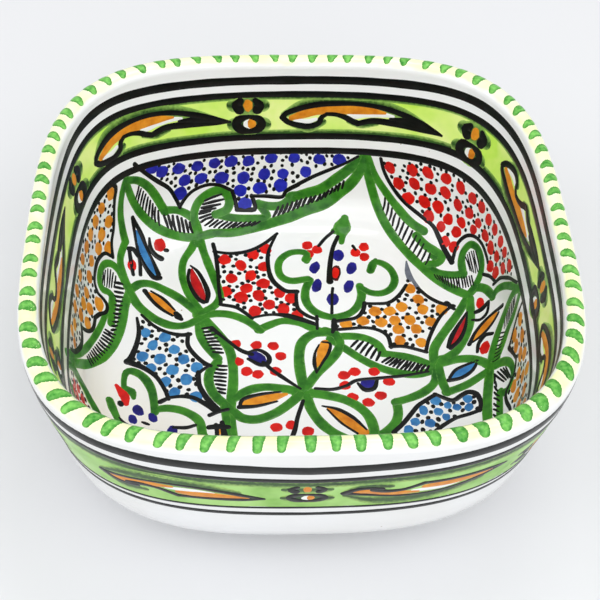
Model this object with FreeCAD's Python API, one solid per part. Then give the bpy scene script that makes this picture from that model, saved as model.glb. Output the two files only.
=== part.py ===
# Deep square bowl with rounded corners, glazed all over except under its foot.
# Millimetres.  The bowl stands on z = 0, its centre line is the Z axis and its sides face X and Y.
import FreeCAD, Part
import math
import os

# ---- overall sizes -------------------------------------------------------------------------
WIDTH = 212.0            # across the lip, side to side, glaze included
HEIGHT = 94.0            # from the table to the top of the lip, glaze included
CLAY_WALL = 7.0          # thickness of the clay in the wall and the floor
GLAZE = 0.4              # thickness of every glaze coat
FOOT_WIDTH = 128.0       # across the foot ring, side to side
FOOT_HEIGHT = 5.0        # from the table to the underside of the bowl
FOOT_RING_THICK = 6.0    # thickness of the foot ring
FOOT_EDGE_ROUND = 1.2    # rounding of the two edges the bowl stands on

# ---- side profile --------------------------------------------------------------------------
LIP_LEAN = 6.8           # how much narrower than the lip the wall is on each side at the bend
BEND_HEIGHT = 38.0       # height at which the steep wall turns into the round belly
LEAN_SLOPE = 0.10        # sideways run per unit of drop at the bend
UPPER_HANDLE = 14.0      # how long the wall drops straight below the lip
BEND_HANDLE_UP = 18.0    # reach of the bend upwards
BEND_HANDLE_DOWN = 19.0  # reach of the bend downwards
BELLY_FULLNESS = 24.0    # how far the belly runs level outwards from the foot

# ---- squareness: exponent of |x|^n + |y|^n = 1, 2 is a circle and large values a square ------
LIP_SQUARENESS = 3.5
FOOT_SQUARENESS = 2.9

# ---- fineness of the curves ----------------------------------------------------------------
OUTLINE_POINTS = 48
PROFILE_POINTS_PER_ARC = 8

# ---- sizes that follow ---------------------------------------------------------------------
LIP_GLAZE_RADIUS = CLAY_WALL / 2 + GLAZE
LIP_CLAY_RADIUS = CLAY_WALL / 2
LIP_CENTRE = WIDTH / 2 - LIP_GLAZE_RADIUS      # half width at the middle of the lip
SPRING_HEIGHT = HEIGHT - LIP_GLAZE_RADIUS      # level where the wall ends and the lip begins
FOOT_HALF = FOOT_WIDTH / 2
FOOT_INNER_HALF = FOOT_HALF - FOOT_RING_THICK


def unit_outline(squareness):
    """Closed rounded-square curve of half width 1, as a periodic spline."""
    points = []
    for i in range(OUTLINE_POINTS):
        angle = 2 * math.pi * i / OUTLINE_POINTS
        c, s = math.cos(angle), math.sin(angle)
        reach = (abs(c) ** squareness + abs(s) ** squareness) ** (-1 / squareness)
        points.append(FreeCAD.Vector(reach * c, reach * s, 0))
    curve = Part.BSplineCurve()
    steps = [i / OUTLINE_POINTS for i in range(OUTLINE_POINTS + 1)]
    curve.interpolate(Points=points, PeriodicFlag=True, Parameters=steps)
    return curve


LIP_OUTLINE = unit_outline(LIP_SQUARENESS)
FOOT_OUTLINE = unit_outline(FOOT_SQUARENESS)


def outline_poles(half, height, ease):
    """Control points of the outline at one level; ease 0 has the lip's shape, 1 the foot's."""
    poles = []
    for lip, foot in zip(LIP_OUTLINE.getPoles(), FOOT_OUTLINE.getPoles()):
        mixed = lip * (1 - ease) + foot * ease
        poles.append(FreeCAD.Vector(mixed.x * half, mixed.y * half, height))
    return poles


def outline_wire(half, height, ease):
    """The outline itself as a closed wire."""
    curve = Part.BSplineCurve()
    curve.buildFromPolesMultsKnots(
        outline_poles(half, height, ease), LIP_OUTLINE.getMultiplicities(),
        LIP_OUTLINE.getKnots(), True, LIP_OUTLINE.Degree)
    return Part.Wire(curve.toShape())


def swept_face(halves, heights, eases, mults, knots, degree, weights):
    """Face whose control rows are outlines, one for each control point of the profile."""
    rows = [outline_poles(*row) for row in zip(halves, heights, eases)]
    columns = [list(column) for column in zip(*rows)]
    surface = Part.BSplineSurface()
    surface.buildFromPolesMultsKnots(
        columns, LIP_OUTLINE.getMultiplicities(), mults, LIP_OUTLINE.getKnots(), knots,
        True, False, LIP_OUTLINE.Degree, degree, [list(weights) for _ in columns])
    return surface.toShape()


def bezier(points, t):
    """Point and direction of a cubic at t."""
    (p0, p1, p2, p3), u = points, 1 - t
    place = [u ** 3 * a + 3 * u * u * t * b + 3 * u * t * t * c + t ** 3 * d
             for a, b, c, d in zip(p0, p1, p2, p3)]
    slope = [3 * (u * u * (b - a) + 2 * u * t * (c - b) + t * t * (d - c))
             for a, b, c, d in zip(p0, p1, p2, p3)]
    return place, slope


def profile_arcs():
    """The outer clay wall as two cubics, lip to bend and bend to foot."""
    top = (LIP_CENTRE + LIP_CLAY_RADIUS, SPRING_HEIGHT)
    bend = (top[0] - LIP_LEAN, BEND_HEIGHT)
    wall = (top, (top[0], top[1] - UPPER_HANDLE),
            (bend[0] + BEND_HANDLE_UP * LEAN_SLOPE, bend[1] + BEND_HANDLE_UP), bend)
    belly = (bend, (bend[0] - BEND_HANDLE_DOWN * LEAN_SLOPE, bend[1] - BEND_HANDLE_DOWN),
             (FOOT_HALF + BELLY_FULLNESS, FOOT_HEIGHT), (FOOT_HALF, FOOT_HEIGHT))
    return {"wall": wall, "belly": belly}


def arc_samples(name):
    """Points and directions down one of the two cubics."""
    arc = profile_arcs()[name]
    return [bezier(arc, i / PROFILE_POINTS_PER_ARC) for i in range(PROFILE_POINTS_PER_ARC + 1)]


def arc_steps(name):
    """Distance travelled down one cubic at each of its samples."""
    samples = arc_samples(name)
    steps = [0.0]
    for (here, _), (there, _) in zip(samples, samples[1:]):
        steps.append(steps[-1] + math.dist(here, there))
    return steps


def bend_ease():
    """Share of the way from the lip's outline to the foot's that is done at the bend."""
    wall, belly = arc_steps("wall")[-1], arc_steps("belly")[-1]
    return wall / (wall + belly)


def moved(place, slope, offset):
    """Half width and height of a profile point moved outwards by offset."""
    (half, height), (run, drop) = place, slope
    length = math.hypot(run, drop)
    return half - offset * drop / length, height + offset * run / length


def side_face(name, offset):
    """Wall or belly, moved outwards by offset (inwards when it is negative)."""
    samples, steps = arc_samples(name), arc_steps(name)
    points = []
    for place, slope in samples:
        half, height = moved(place, slope, offset)
        points.append(FreeCAD.Vector(half, 0, height))
    ends = [FreeCAD.Vector(slope[0], 0, slope[1]).normalize()
            for slope in (samples[0][1], samples[-1][1])]
    curve = Part.BSplineCurve()
    curve.interpolate(Points=points, Parameters=steps, InitialTangent=ends[0],
                      FinalTangent=ends[1])
    poles, sequence, degree = curve.getPoles(), curve.KnotSequence, curve.Degree
    first, last = (0, bend_ease()) if name == "wall" else (bend_ease(), 1)
    travelled = [sum(sequence[i + 1:i + 1 + degree]) / degree / steps[-1]
                 for i in range(len(poles))]
    eases = [first + (last - first) * share for share in travelled]
    return swept_face([p.x for p in poles], [p.z for p in poles], eases,
                      curve.getMultiplicities(), curve.getKnots(), degree, [1.0] * len(poles))


def bend_joint():
    """Face square to the clay at the bend, where the wall stands on the belly."""
    place, slope = arc_samples("belly")[0]
    ends = [moved(place, slope, offset) for offset in (0, -CLAY_WALL)]
    return swept_face([half for half, _ in ends], [height for _, height in ends],
                      [bend_ease()] * 2, [2, 2], [0, 1], 1, [1.0, 1.0])


def lip_face(radius):
    """Half-round top of the wall, from its outer side over to its inner side."""
    across = [radius, radius, 0, -radius, -radius]
    up = [0, radius, radius, radius, 0]
    corner = math.sqrt(0.5)
    return swept_face([LIP_CENTRE + a for a in across], [SPRING_HEIGHT + u for u in up],
                      [0] * 5, [3, 2, 3], [0, 1, 2], 2, [1, corner, 1, corner, 1])


def disc(half, height, ease):
    """Flat face filling one outline."""
    return Part.Face(outline_wire(half, height, ease))


def flat_ring(outer_half, inner_half, height, ease):
    """Flat face between two outlines of the same level."""
    hole = outline_wire(inner_half, height, ease)
    hole.reverse()
    return Part.Face([outline_wire(outer_half, height, ease), hole])


def floor_edge(rise):
    """Upright face at the edge of the floor, from the foot's top up by rise."""
    start = FOOT_HEIGHT + min(rise, 0)
    return outline_wire(FOOT_HALF, start, 1).extrude(FreeCAD.Vector(0, 0, abs(rise))).Faces


def closed_solid(faces):
    """Join faces that share their edges into one solid, outside facing out."""
    shell = Part.makeShell(faces)
    shell.sewShape()
    shell = shell.Shells[0]
    solid = Part.Solid(shell)
    if solid.Volume < 0:
        solid.reverse()
    if not (shell.isClosed() and solid.isValid()):
        raise ValueError("the faces do not close")
    return solid


def wall():
    """Steep upper clay, with its round lip."""
    return closed_solid([side_face("wall", 0), lip_face(LIP_CLAY_RADIUS),
                         side_face("wall", -CLAY_WALL), bend_joint()])


def belly():
    """Round lower clay, from the bend in to the edge of the floor."""
    return closed_solid([side_face("belly", 0), bend_joint(),
                         side_face("belly", -CLAY_WALL)] + floor_edge(CLAY_WALL))


def floor():
    """Flat clay slab in the middle of the belly."""
    return closed_solid([disc(FOOT_HALF, FOOT_HEIGHT, 1),
                         disc(FOOT_HALF, FOOT_HEIGHT + CLAY_WALL, 1)] + floor_edge(CLAY_WALL))


def standing_edge(edge, inward):
    """Quarter-round between a side of the foot ring and the face it stands on."""
    halves = [edge, edge, edge + inward * FOOT_EDGE_ROUND]
    return swept_face(halves, [FOOT_EDGE_ROUND, 0, 0], [1] * 3, [3, 3], [0, 1], 2,
                      [1, math.sqrt(0.5), 1])


def foot_ring():
    """Bare clay ring under the floor, its two standing edges rounded."""
    side = FreeCAD.Vector(0, 0, FOOT_HEIGHT - FOOT_EDGE_ROUND)
    faces = [standing_edge(FOOT_HALF, -1), standing_edge(FOOT_INNER_HALF, 1),
             flat_ring(FOOT_HALF, FOOT_INNER_HALF, FOOT_HEIGHT, 1),
             flat_ring(FOOT_HALF - FOOT_EDGE_ROUND, FOOT_INNER_HALF + FOOT_EDGE_ROUND, 0, 1)]
    for half in (FOOT_HALF, FOOT_INNER_HALF):
        faces += outline_wire(half, FOOT_EDGE_ROUND, 1).extrude(side).Faces
    return closed_solid(faces)


def inside_glaze():
    """White coat over the inner wall and the floor."""
    top_of_clay = FOOT_HEIGHT + CLAY_WALL
    clay_half = LIP_CENTRE - LIP_CLAY_RADIUS
    return closed_solid([
        side_face("wall", -CLAY_WALL), side_face("wall", -CLAY_WALL - GLAZE),
        side_face("belly", -CLAY_WALL), side_face("belly", -CLAY_WALL - GLAZE),
        flat_ring(clay_half, clay_half - GLAZE, SPRING_HEIGHT, 0),
        disc(FOOT_HALF, top_of_clay, 1), disc(FOOT_HALF, top_of_clay + GLAZE, 1)])


def rim_glaze():
    """Coloured coat over the round lip."""
    outer, inner = LIP_CENTRE + LIP_CLAY_RADIUS, LIP_CENTRE - LIP_CLAY_RADIUS
    return closed_solid([
        lip_face(LIP_CLAY_RADIUS), lip_face(LIP_GLAZE_RADIUS),
        flat_ring(outer + GLAZE, outer, SPRING_HEIGHT, 0),
        flat_ring(inner, inner - GLAZE, SPRING_HEIGHT, 0)])


def outside_glaze():
    """White coat over the outer wall and the belly, ending against the foot ring."""
    clay_half = LIP_CENTRE + LIP_CLAY_RADIUS
    return closed_solid([
        side_face("wall", 0), side_face("wall", GLAZE),
        side_face("belly", 0), side_face("belly", GLAZE),
        flat_ring(clay_half + GLAZE, clay_half, SPRING_HEIGHT, 0)] + floor_edge(-GLAZE))


def base_glaze():
    """White coat under the floor, inside the foot ring."""
    return disc(FOOT_INNER_HALF, FOOT_HEIGHT - GLAZE, 1).extrude(FreeCAD.Vector(0, 0, GLAZE))


NODES = {
    "wall": wall,
    "belly": belly,
    "floor": floor,
    "foot_ring": foot_ring,
    "inside_glaze": inside_glaze,
    "rim_glaze": rim_glaze,
    "outside_glaze": outside_glaze,
    "base_glaze": base_glaze,
}

os.makedirs("parts", exist_ok=True)
for name, build in NODES.items():
    shape = build()
    shape.exportStep("parts/" + name + ".step")
    box = shape.BoundBox
    print("%-14s x %.1f to %.1f  z %.1f to %.1f  volume %.1f cm3" % (
        name, box.XMin, box.XMax, box.ZMin, box.ZMax, shape.Volume / 1000))
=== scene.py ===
# %% [markdown]
# # A painted serving bowl, finished in Blender
# The bowl is a deep rounded square of fired clay under white glaze, with a pale yellow lip dabbed
# with green, a lime band between black lines, and a garden of leaves, flowers and dotted panels
# brushed over its inside.  The clay and the glaze were made as solids before this lesson starts.
# They are loaded as a fixed frame, so sizes are read from them and nothing is moved.  What is left is
# the skin of the bowl: smooth glaze coats, every brush stroke, and the finish of each.

# %% Load the frame
import math
import random

import bpy
import numpy as np
from mathutils import Matrix, Vector


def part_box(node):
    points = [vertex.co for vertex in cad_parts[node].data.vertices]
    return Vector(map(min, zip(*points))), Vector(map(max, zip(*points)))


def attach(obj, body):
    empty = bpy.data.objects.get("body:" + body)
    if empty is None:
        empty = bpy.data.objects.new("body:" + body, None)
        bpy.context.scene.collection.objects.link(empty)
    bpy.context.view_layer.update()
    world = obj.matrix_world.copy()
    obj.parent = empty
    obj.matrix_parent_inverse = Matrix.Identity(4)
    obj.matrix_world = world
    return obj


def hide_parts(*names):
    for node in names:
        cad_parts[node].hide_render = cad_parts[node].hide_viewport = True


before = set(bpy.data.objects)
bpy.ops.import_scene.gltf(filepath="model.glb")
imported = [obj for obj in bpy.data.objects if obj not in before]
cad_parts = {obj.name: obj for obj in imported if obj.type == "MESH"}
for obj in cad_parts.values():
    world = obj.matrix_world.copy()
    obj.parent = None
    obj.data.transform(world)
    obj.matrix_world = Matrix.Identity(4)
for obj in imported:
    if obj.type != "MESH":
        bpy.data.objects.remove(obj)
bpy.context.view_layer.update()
print("solids:", ", ".join(sorted(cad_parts)))

# %% [markdown]
# ## Sizes
# Overall sizes come from the solids.  The few numbers that draw the side profile are repeated from
# the clay's own drawing.  The bowl is described in millimetres, because strokes and dabs are easier
# to think of that way, and one function at the end turns a place on the skin into metres.

# %% Sizes of the bowl, in millimetres
MM = 0.001
LIP_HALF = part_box("rim_glaze")[1][0] / MM
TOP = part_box("rim_glaze")[1][2] / MM
FOOT_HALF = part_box("foot_ring")[1][0] / MM
FOOT_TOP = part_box("foot_ring")[1][2] / MM
FOOT_INNER_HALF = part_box("base_glaze")[1][0] / MM
CLAY_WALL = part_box("floor")[1][2] / MM - FOOT_TOP
GLAZE = FOOT_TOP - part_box("base_glaze")[0][2] / MM
PAINT_ROOM = 0.12       # the coats are drawn this much thinner, so that paint stays in the bowl's box
COAT = GLAZE - PAINT_ROOM

LIP_LEAN = 6.8          # the wall is this much narrower at its bend than at the lip
BEND_HEIGHT = 38.0
LEAN_SLOPE = 0.10
UPPER_HANDLE = 14.0
BEND_HANDLE_UP = 18.0
BEND_HANDLE_DOWN = 19.0
BELLY_FULLNESS = 24.0
LIP_SQUARENESS = 3.5    # 2 is a circle, large values are a square
FOOT_SQUARENESS = 2.9

LIP_RADIUS = CLAY_WALL / 2
LIP_CENTRE = LIP_HALF - LIP_RADIUS - GLAZE
SPRING = TOP - LIP_RADIUS - GLAZE               # level where the wall ends and the round lip begins
print(f"lip {2 * LIP_HALF:.1f} wide, {TOP:.1f} high, clay {CLAY_WALL:.1f}, glaze {GLAZE:.2f} thick")


# %% [markdown]
# ## The bowl as one long section
# Cut the bowl from its middle outwards and the cut edge is one line: along the floor, up the inner
# wall, over the lip and down the outer wall to the foot.  A place on the skin is then an angle
# round the bowl and a *walk* along that line.  Two cubic curves draw the wall and the belly, and
# the outline changes slowly from the squarer lip to the rounder foot.  A table of the line is
# enough to lay any glaze or any stroke exactly on the clay.

# %% The section line
def cubic(corners, steps):
    """Places and unit directions along a cubic curve."""
    p0, p1, p2, p3 = np.array(corners, float)
    t = np.linspace(0, 1, steps + 1)[:, None]
    u = 1 - t
    place = u ** 3 * p0 + 3 * u * u * t * p1 + 3 * u * t * t * p2 + t ** 3 * p3
    slope = 3 * (u * u * (p1 - p0) + 2 * u * t * (p2 - p1) + t * t * (p3 - p2))
    return place, slope / np.linalg.norm(slope, axis=1)[:, None]


def side_line(steps=150):
    """Outer clay side from lip to foot: place, direction, and share of the way down."""
    top = (LIP_CENTRE + LIP_RADIUS, SPRING)
    bend = (top[0] - LIP_LEAN, BEND_HEIGHT)
    wall = cubic([top, (top[0], top[1] - UPPER_HANDLE),
                  (bend[0] + BEND_HANDLE_UP * LEAN_SLOPE, bend[1] + BEND_HANDLE_UP), bend], steps)
    belly = cubic([bend, (bend[0] - BEND_HANDLE_DOWN * LEAN_SLOPE, bend[1] - BEND_HANDLE_DOWN),
                   (FOOT_HALF + BELLY_FULLNESS, FOOT_TOP), (FOOT_HALF, FOOT_TOP)], steps)
    place, slope = (np.vstack([upper, lower[1:]]) for upper, lower in zip(wall, belly))
    way = np.r_[0, np.cumsum(np.linalg.norm(np.diff(place, axis=0), axis=1))]
    return place, slope, way / way[-1]


def section_line():
    """Half width, height, normal and ease along the coats' face, with the walk to each."""
    place, slope, ease = side_line()
    outward = np.stack([-slope[:, 1], slope[:, 0]], axis=1)
    outer = np.column_stack([place + outward * COAT, outward, ease])
    inner = np.column_stack([place - outward * (CLAY_WALL + COAT), -outward, ease])[::-1]
    turn = np.radians(np.linspace(180, 0, 49))[1:-1]
    over = np.stack([np.cos(turn), np.sin(turn)], axis=1)
    lip = np.column_stack([(LIP_CENTRE, SPRING) + over * (LIP_RADIUS + COAT), over, 0 * turn])
    rows = np.vstack([[0, inner[0, 1], 0, 1, 1], inner, lip, outer])
    walk = np.r_[0, np.cumsum(np.linalg.norm(np.diff(rows[:, :2], axis=0), axis=1))]
    return walk, rows, walk[len(inner)], walk[len(inner) + len(lip) + 1]


WALK, SECTION, INNER_SPRING, OUTER_SPRING = section_line()
FLOOR_WALK, FOOT_WALK = WALK[1], WALK[-1]
print(f"walk: inner spring {INNER_SPRING:.1f}, outer spring {OUTER_SPRING:.1f}, foot {FOOT_WALK:.1f}")


# %% Any place on the skin
def outline(angle, squareness):
    """Reach of the rounded square of half width 1."""
    c, s = abs(np.cos(angle)), abs(np.sin(angle))
    return (c ** squareness + s ** squareness) ** (-1 / squareness)


def skin(angle, walk, lift=0.0):
    """Points in metres on the coats' face, or lift millimetres above it."""
    half, height, aside, up, ease = (np.interp(walk, WALK, column) for column in SECTION.T)
    reach = (1 - ease) * outline(angle, LIP_SQUARENESS) + ease * outline(angle, FOOT_SQUARENESS)
    radius, level = np.broadcast_arrays(half * reach + aside * lift, height + up * lift)
    return np.stack([radius * np.cos(angle), radius * np.sin(angle), level], -1) * MM


print("inner corner of the lip, mm:", np.round(skin(math.pi / 4, INNER_SPRING) / MM, 1))


# %% [markdown]
# ## Stage, light and camera
# A pale sweep lies under the bowl.  Five wide soft lamps stand round it like a light tent: two in
# front and one on each side reach the walls of the bowl, and one right above reaches its floor.
# A small bright pane at the back makes the highlight that tells wet glaze from dull paper.
# The room is bright all round, so the shadow is soft and short.  The camera looks down into the
# bowl, turned and tilted a little, as when held in the hand.

# %% Stage
SWEEP_WIDTH = 12        # metres, so that its edge is far out of sight
CAMERA_PLACE = (-0.0205, -0.3539, 0.4545)
CAMERA_TURN, CAMERA_DOWN, CAMERA_TILT = (math.radians(a) for a in (3.49, 48.87, 2.15))
LENS = 78.2
DAYLIGHT = (0.99, 0.995, 1.0)
LAMPS = {               # place and width in metres, and power in watts
    "window_above": ((0.1, -0.75, 1.45), 1.1, 4.8),
    "soft_front": ((0.2, -1.5, 1.2), 1.4, 6.8),
    "soft_right": ((1.3, -0.4, 1.3), 1.2, 4.8),
    "soft_left": ((-1.3, -0.4, 1.3), 1.2, 6.0),
    "soft_top": ((-0.1, 0.0, 1.6), 1.3, 1.2),
    "bright_pane": ((0.17, 0.32, 1.15), 0.35, 1.2),
}


def lamp(name, place, size, power):
    """A square soft lamp that looks at the bowl."""
    look = (Vector((0, 0, TOP * MM / 2)) - Vector(place)).to_track_quat("-Z", "Y").to_euler()
    bpy.ops.object.light_add(type="AREA", location=place, rotation=look)
    light = bpy.context.object
    light.name = name
    light.data.shape, light.data.size = "SQUARE", size
    light.data.energy, light.data.color = power, DAYLIGHT
    print(f"{name}: {size} m wide, {power} W")


def deselect():
    bpy.ops.object.select_all(action="DESELECT")


deselect()
bpy.ops.mesh.primitive_plane_add(size=SWEEP_WIDTH)
floor_sweep = bpy.context.object
floor_sweep.name = "floor_sweep"
for name, (place, size, power) in LAMPS.items():
    lamp(name, place, size, power)

scene = bpy.context.scene
scene.view_settings.view_transform = "Standard"
camera = bpy.data.objects.new("camera", bpy.data.cameras.new("camera"))
scene.collection.objects.link(camera)
scene.camera = camera
camera.data.lens = LENS
camera.matrix_world = (Matrix.Translation(CAMERA_PLACE) @ Matrix.Rotation(-CAMERA_TURN, 4, "Z")
                       @ Matrix.Rotation(math.pi / 2 - CAMERA_DOWN, 4, "X")
                       @ Matrix.Rotation(CAMERA_TILT, 4, "Z"))


# %% [markdown]
# ## A short way to write materials
# A material is a small graph of nodes.  These helpers add a node, fill each socket with a plain value
# or with another node's output, and mix two colours.  Every pattern reads object coordinates, so it
# keeps one scale in metres over the whole bowl, and pieces side by side share the same ripples.

# %% Material helpers
def fill(tree, socket, value):
    """Link a socket to another node's output, or set its value."""
    if isinstance(value, bpy.types.NodeSocket):
        tree.links.new(value, socket)
    else:
        socket.default_value = value


def put(tree, kind, settings=None, **sockets):
    """Add a node; its sockets are filled by name, with _ for a space."""
    made = tree.nodes.new("ShaderNode" + kind)
    for name, value in (settings or {}).items():
        setattr(made, name, value)
    for name, value in sockets.items():
        fill(tree, made.inputs[name.replace("_", " ")], value)
    return made


def linear(red, green, blue):
    """A colour as judged, 0 to 255, in the shader's own units."""
    shares = [value / 255 for value in (red, green, blue)]
    return tuple(((s + 0.055) / 1.055) ** 2.4 if s > 0.04 else s / 12.92 for s in shares) + (1,)


def mixed(tree, share, first, second):
    """Colour between first, at share 0, and second, at share 1."""
    made = put(tree, "Mix", {"data_type": "RGBA"})
    for index, value in ((0, share), (6, first), (7, second)):
        fill(tree, made.inputs[index], value)
    return made.outputs[2]


def between(tree, value, low, high, first=0.0, last=1.0):
    """Value stretched so that low gives first and high gives last."""
    return put(tree, "MapRange", Value=value, From_Min=low, From_Max=high, To_Min=first,
               To_Max=last).outputs[0]


def sum_of(tree, first, second):
    made = put(tree, "Math")
    fill(tree, made.inputs[0], first)
    fill(tree, made.inputs[1], second)
    return made.outputs[0]


def clouds(tree, size, detail=2.0):
    """Soft noise from 0 to 1 whose clouds are size metres across."""
    place = put(tree, "TexCoord").outputs["Object"]
    return put(tree, "TexNoise", Vector=place, Scale=1 / size, Detail=detail).outputs[0]


def glassy(tree, shader, shine=1.0):
    """Clear glaze over the colour: a hard coat with slow ripples and fine pits."""
    ripple = put(tree, "Bump", Strength=0.3, Distance=0.0006, Height=clouds(tree, 0.022))
    pits = put(tree, "Bump", Strength=0.15, Distance=0.0001, Height=clouds(tree, 0.0015),
               Normal=ripple.outputs[0])
    fill(tree, shader.inputs["Normal"], ripple.outputs[0])
    fill(tree, shader.inputs["Coat Normal"], pits.outputs[0])
    fill(tree, shader.inputs["Roughness"], between(tree, clouds(tree, 0.006), 0.3, 0.7, 0.28, 0.44))
    shader.inputs["Specular IOR Level"].default_value = 0.3 * shine
    shader.inputs["Coat Weight"].default_value = shine
    shader.inputs["Coat Roughness"].default_value = 0.05
    shader.inputs["Coat IOR"].default_value = 1.5


def new_material(name):
    material = bpy.data.materials.new(name)
    material.use_nodes = True
    return material, material.node_tree, material.node_tree.nodes["Principled BSDF"]


def give(piece, material):
    """Put one material on a piece."""
    piece.data.materials.clear()
    piece.data.materials.append(material)


# %% [markdown]
# ## Sweep and room
# The sweep is matt paper, a grey that the lamps lift to almost white.  The room sends even, slightly
# cool light from all round.  A Light Path node tells rays from the camera apart, so behind the sweep
# the camera sees a plain pale backdrop, while the bowl is lit by the room.

# %% Sweep and room
SWEEP_GREYS = linear(227, 227, 227), linear(224, 225, 228)
ROOM_COLOUR, ROOM_LIGHT = (0.975, 0.985, 1.0, 1), 0.725
BACKDROP = linear(243, 243, 243)

material, tree, shader = new_material("pale_sweep")
fill(tree, shader.inputs["Base Color"], mixed(tree, clouds(tree, 0.4), *SWEEP_GREYS))
shader.inputs["Roughness"].default_value = 0.9
shader.inputs["Specular IOR Level"].default_value = 0.1
give(floor_sweep, material)

scene.world = bpy.data.worlds.new("room")
scene.world.use_nodes = True
tree = scene.world.node_tree
room = tree.nodes["Background"]
room.inputs["Color"].default_value = ROOM_COLOUR
room.inputs["Strength"].default_value = ROOM_LIGHT
seen = put(tree, "Background", Color=BACKDROP, Strength=1.0)
choice = put(tree, "MixShader", Fac=put(tree, "LightPath").outputs["Is Camera Ray"])
fill(tree, choice.inputs[1], room.outputs[0])
fill(tree, choice.inputs[2], seen.outputs[0])
tree.links.new(choice.outputs[0], tree.nodes["World Output"].inputs["Surface"])
print("room light", ROOM_LIGHT)


# %% [markdown]
# ## White glaze
# Tin glaze is an opaque white, almost pure inside.  The outside is the same white, painted a little
# greyer as painted shade.  It pools and thins a little, and a few specks of clay come through.  So the
# colour wanders between two whites, and a few cells of a Voronoi pattern, picked by their random colour,
# become specks.  Inside, a cream tint is painted towards the near left corner, a painted reflection of
# warm light bounced there from the yellow lip.  The shine is the helper's clear coat.

# %% White glaze
INSIDE_WHITE = (252, 253, 254), (249, 250, 249)
# painted shade: the outside is the same white glaze, painted a little greyer
SHADED_OUTSIDE_WHITE = (240, 241, 242), (236, 236, 234)
SPECK_BROWN = 160, 138, 110
SPECK_CELLS = 240.0             # cells of the pattern in a metre
SPECK_CHANCE = 0.965, 0.97      # no speck below the first random number, a full one above the second
# painted light: a warm cream reflection, as if bounced from the yellow lip, towards the near left inside
BOUNCE_CREAM = 255, 246, 226
BOUNCE_FROM, BOUNCE_TO = -0.05, -0.12     # metres: x and y together where cream begins and is full
BOUNCE_SHARE, BOUNCE_WANDER = 0.85, 0.03  # the most cream in the white, and how far its edge wanders


def white_glaze_colour(tree, clear, milky):
    """Cloudy white with rare pale brown specks."""
    cloudy = mixed(tree, between(tree, clouds(tree, 0.05), 0.35, 0.65), linear(*clear), linear(*milky))
    place = put(tree, "TexCoord").outputs["Object"]
    cells = put(tree, "TexVoronoi", Vector=place, Scale=SPECK_CELLS)
    near = between(tree, cells.outputs["Distance"], 0.06, 0.1, 1, 0)
    chance = put(tree, "SeparateColor", Color=cells.outputs["Color"]).outputs[0]
    speck = put(tree, "Math", {"operation": "MULTIPLY"})
    fill(tree, speck.inputs[0], near)
    fill(tree, speck.inputs[1], between(tree, chance, *SPECK_CHANCE))
    return mixed(tree, speck.outputs[0], cloudy, linear(*SPECK_BROWN))


def painted_bounce_cream(tree, white):
    """White with a painted warm reflection: it turns to cream towards the near left of the inside."""
    place = put(tree, "TexCoord").outputs["Object"]
    side = put(tree, "SeparateXYZ", Vector=place).outputs
    stray = between(tree, clouds(tree, 0.04), 0, 1, 0, BOUNCE_WANDER)
    slope = sum_of(tree, sum_of(tree, side[0], side[1]), stray)
    share = between(tree, slope, BOUNCE_FROM, BOUNCE_TO, 0.0, BOUNCE_SHARE)
    return mixed(tree, share, white, linear(*BOUNCE_CREAM))


WHITE = {}
# both whites carry painted light: the outside one is painted shade, the inside one has a painted cream
# reflection
for side, shades in (("inside", INSIDE_WHITE), ("outside", SHADED_OUTSIDE_WHITE)):
    material, tree, shader = new_material(f"white_{side}_tin_glaze_with_painted_light")
    white = white_glaze_colour(tree, *shades)
    # the inside white gets the painted cream reflection at its near left
    fill(tree, shader.inputs["Base Color"], painted_bounce_cream(tree, white) if side == "inside" else white)
    glassy(tree, shader)
    WHITE[side] = material
    print(material.name, len(tree.nodes), "nodes")

# %% [markdown]
# ## The four glaze coats
# Each coat is a thin closed shell lying on the clay.  A sphere has the right topology for the two
# coats that close in the middle, inside and under the foot, and a torus for the two that are rings.
# So each coat starts as that primitive, and every point moves to the place on the section that its
# row on the primitive stands for.  The first rows are the face that shows, and the last few are the
# face on the clay.

# %% Coat helpers
ROUND = 360             # points round the bowl
CLAY_ROWS = 28          # the face on the clay is never seen, so it needs fewer rows
SMOOTH_ANGLE = math.radians(40)     # edges up to this angle are shaded smooth
SLOT_OF = {"inside_glaze": "white_inside_glaze", "rim_glaze": "pale_yellow_rim_glaze",
           "outside_glaze": "white_outside_glaze", "base_glaze": "white_base_glaze"}


def points_of(mesh):
    flat = np.empty(len(mesh.vertices) * 3)
    mesh.vertices.foreach_get("co", flat)
    return flat.reshape(-1, 3)


def finish_coat(name, node, points, material):
    """Move the active primitive's points, hide the solid that the piece covers, and hang it on the root
    body.
    """
    piece = bpy.context.object
    piece.name = piece.data.name = name
    piece.data.vertices.foreach_set("co", points.ravel())
    bpy.ops.object.shade_smooth_by_angle(angle=SMOOTH_ANGLE)
    give(piece, material)
    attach(piece, "root")
    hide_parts(node)
    print(f"{name}: {len(piece.data.polygons)} faces")
    return piece


def ring_coat(name, node, start, end, rows, material):
    """Coat between two walks, from a torus; the rows of its tube become lines round the bowl."""
    deselect()
    bpy.ops.mesh.primitive_torus_add(major_segments=ROUND, minor_segments=rows, major_radius=2,
                                     minor_radius=1)
    points = points_of(bpy.context.object.data)
    across = np.hypot(points[:, 0], points[:, 1]) - 2
    row = np.round(np.arctan2(points[:, 2], across) / (2 * math.pi) * rows) % rows
    last = rows - CLAY_ROWS - 1
    shows = row <= last
    share = np.where(shows, row / last, (rows - 1 - row) / (CLAY_ROWS - 1))
    angle = np.arctan2(points[:, 1], points[:, 0])
    points = skin(angle, start + (end - start) * share, np.where(shows, 0, -COAT))
    return finish_coat(name, node, points, material)


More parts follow.
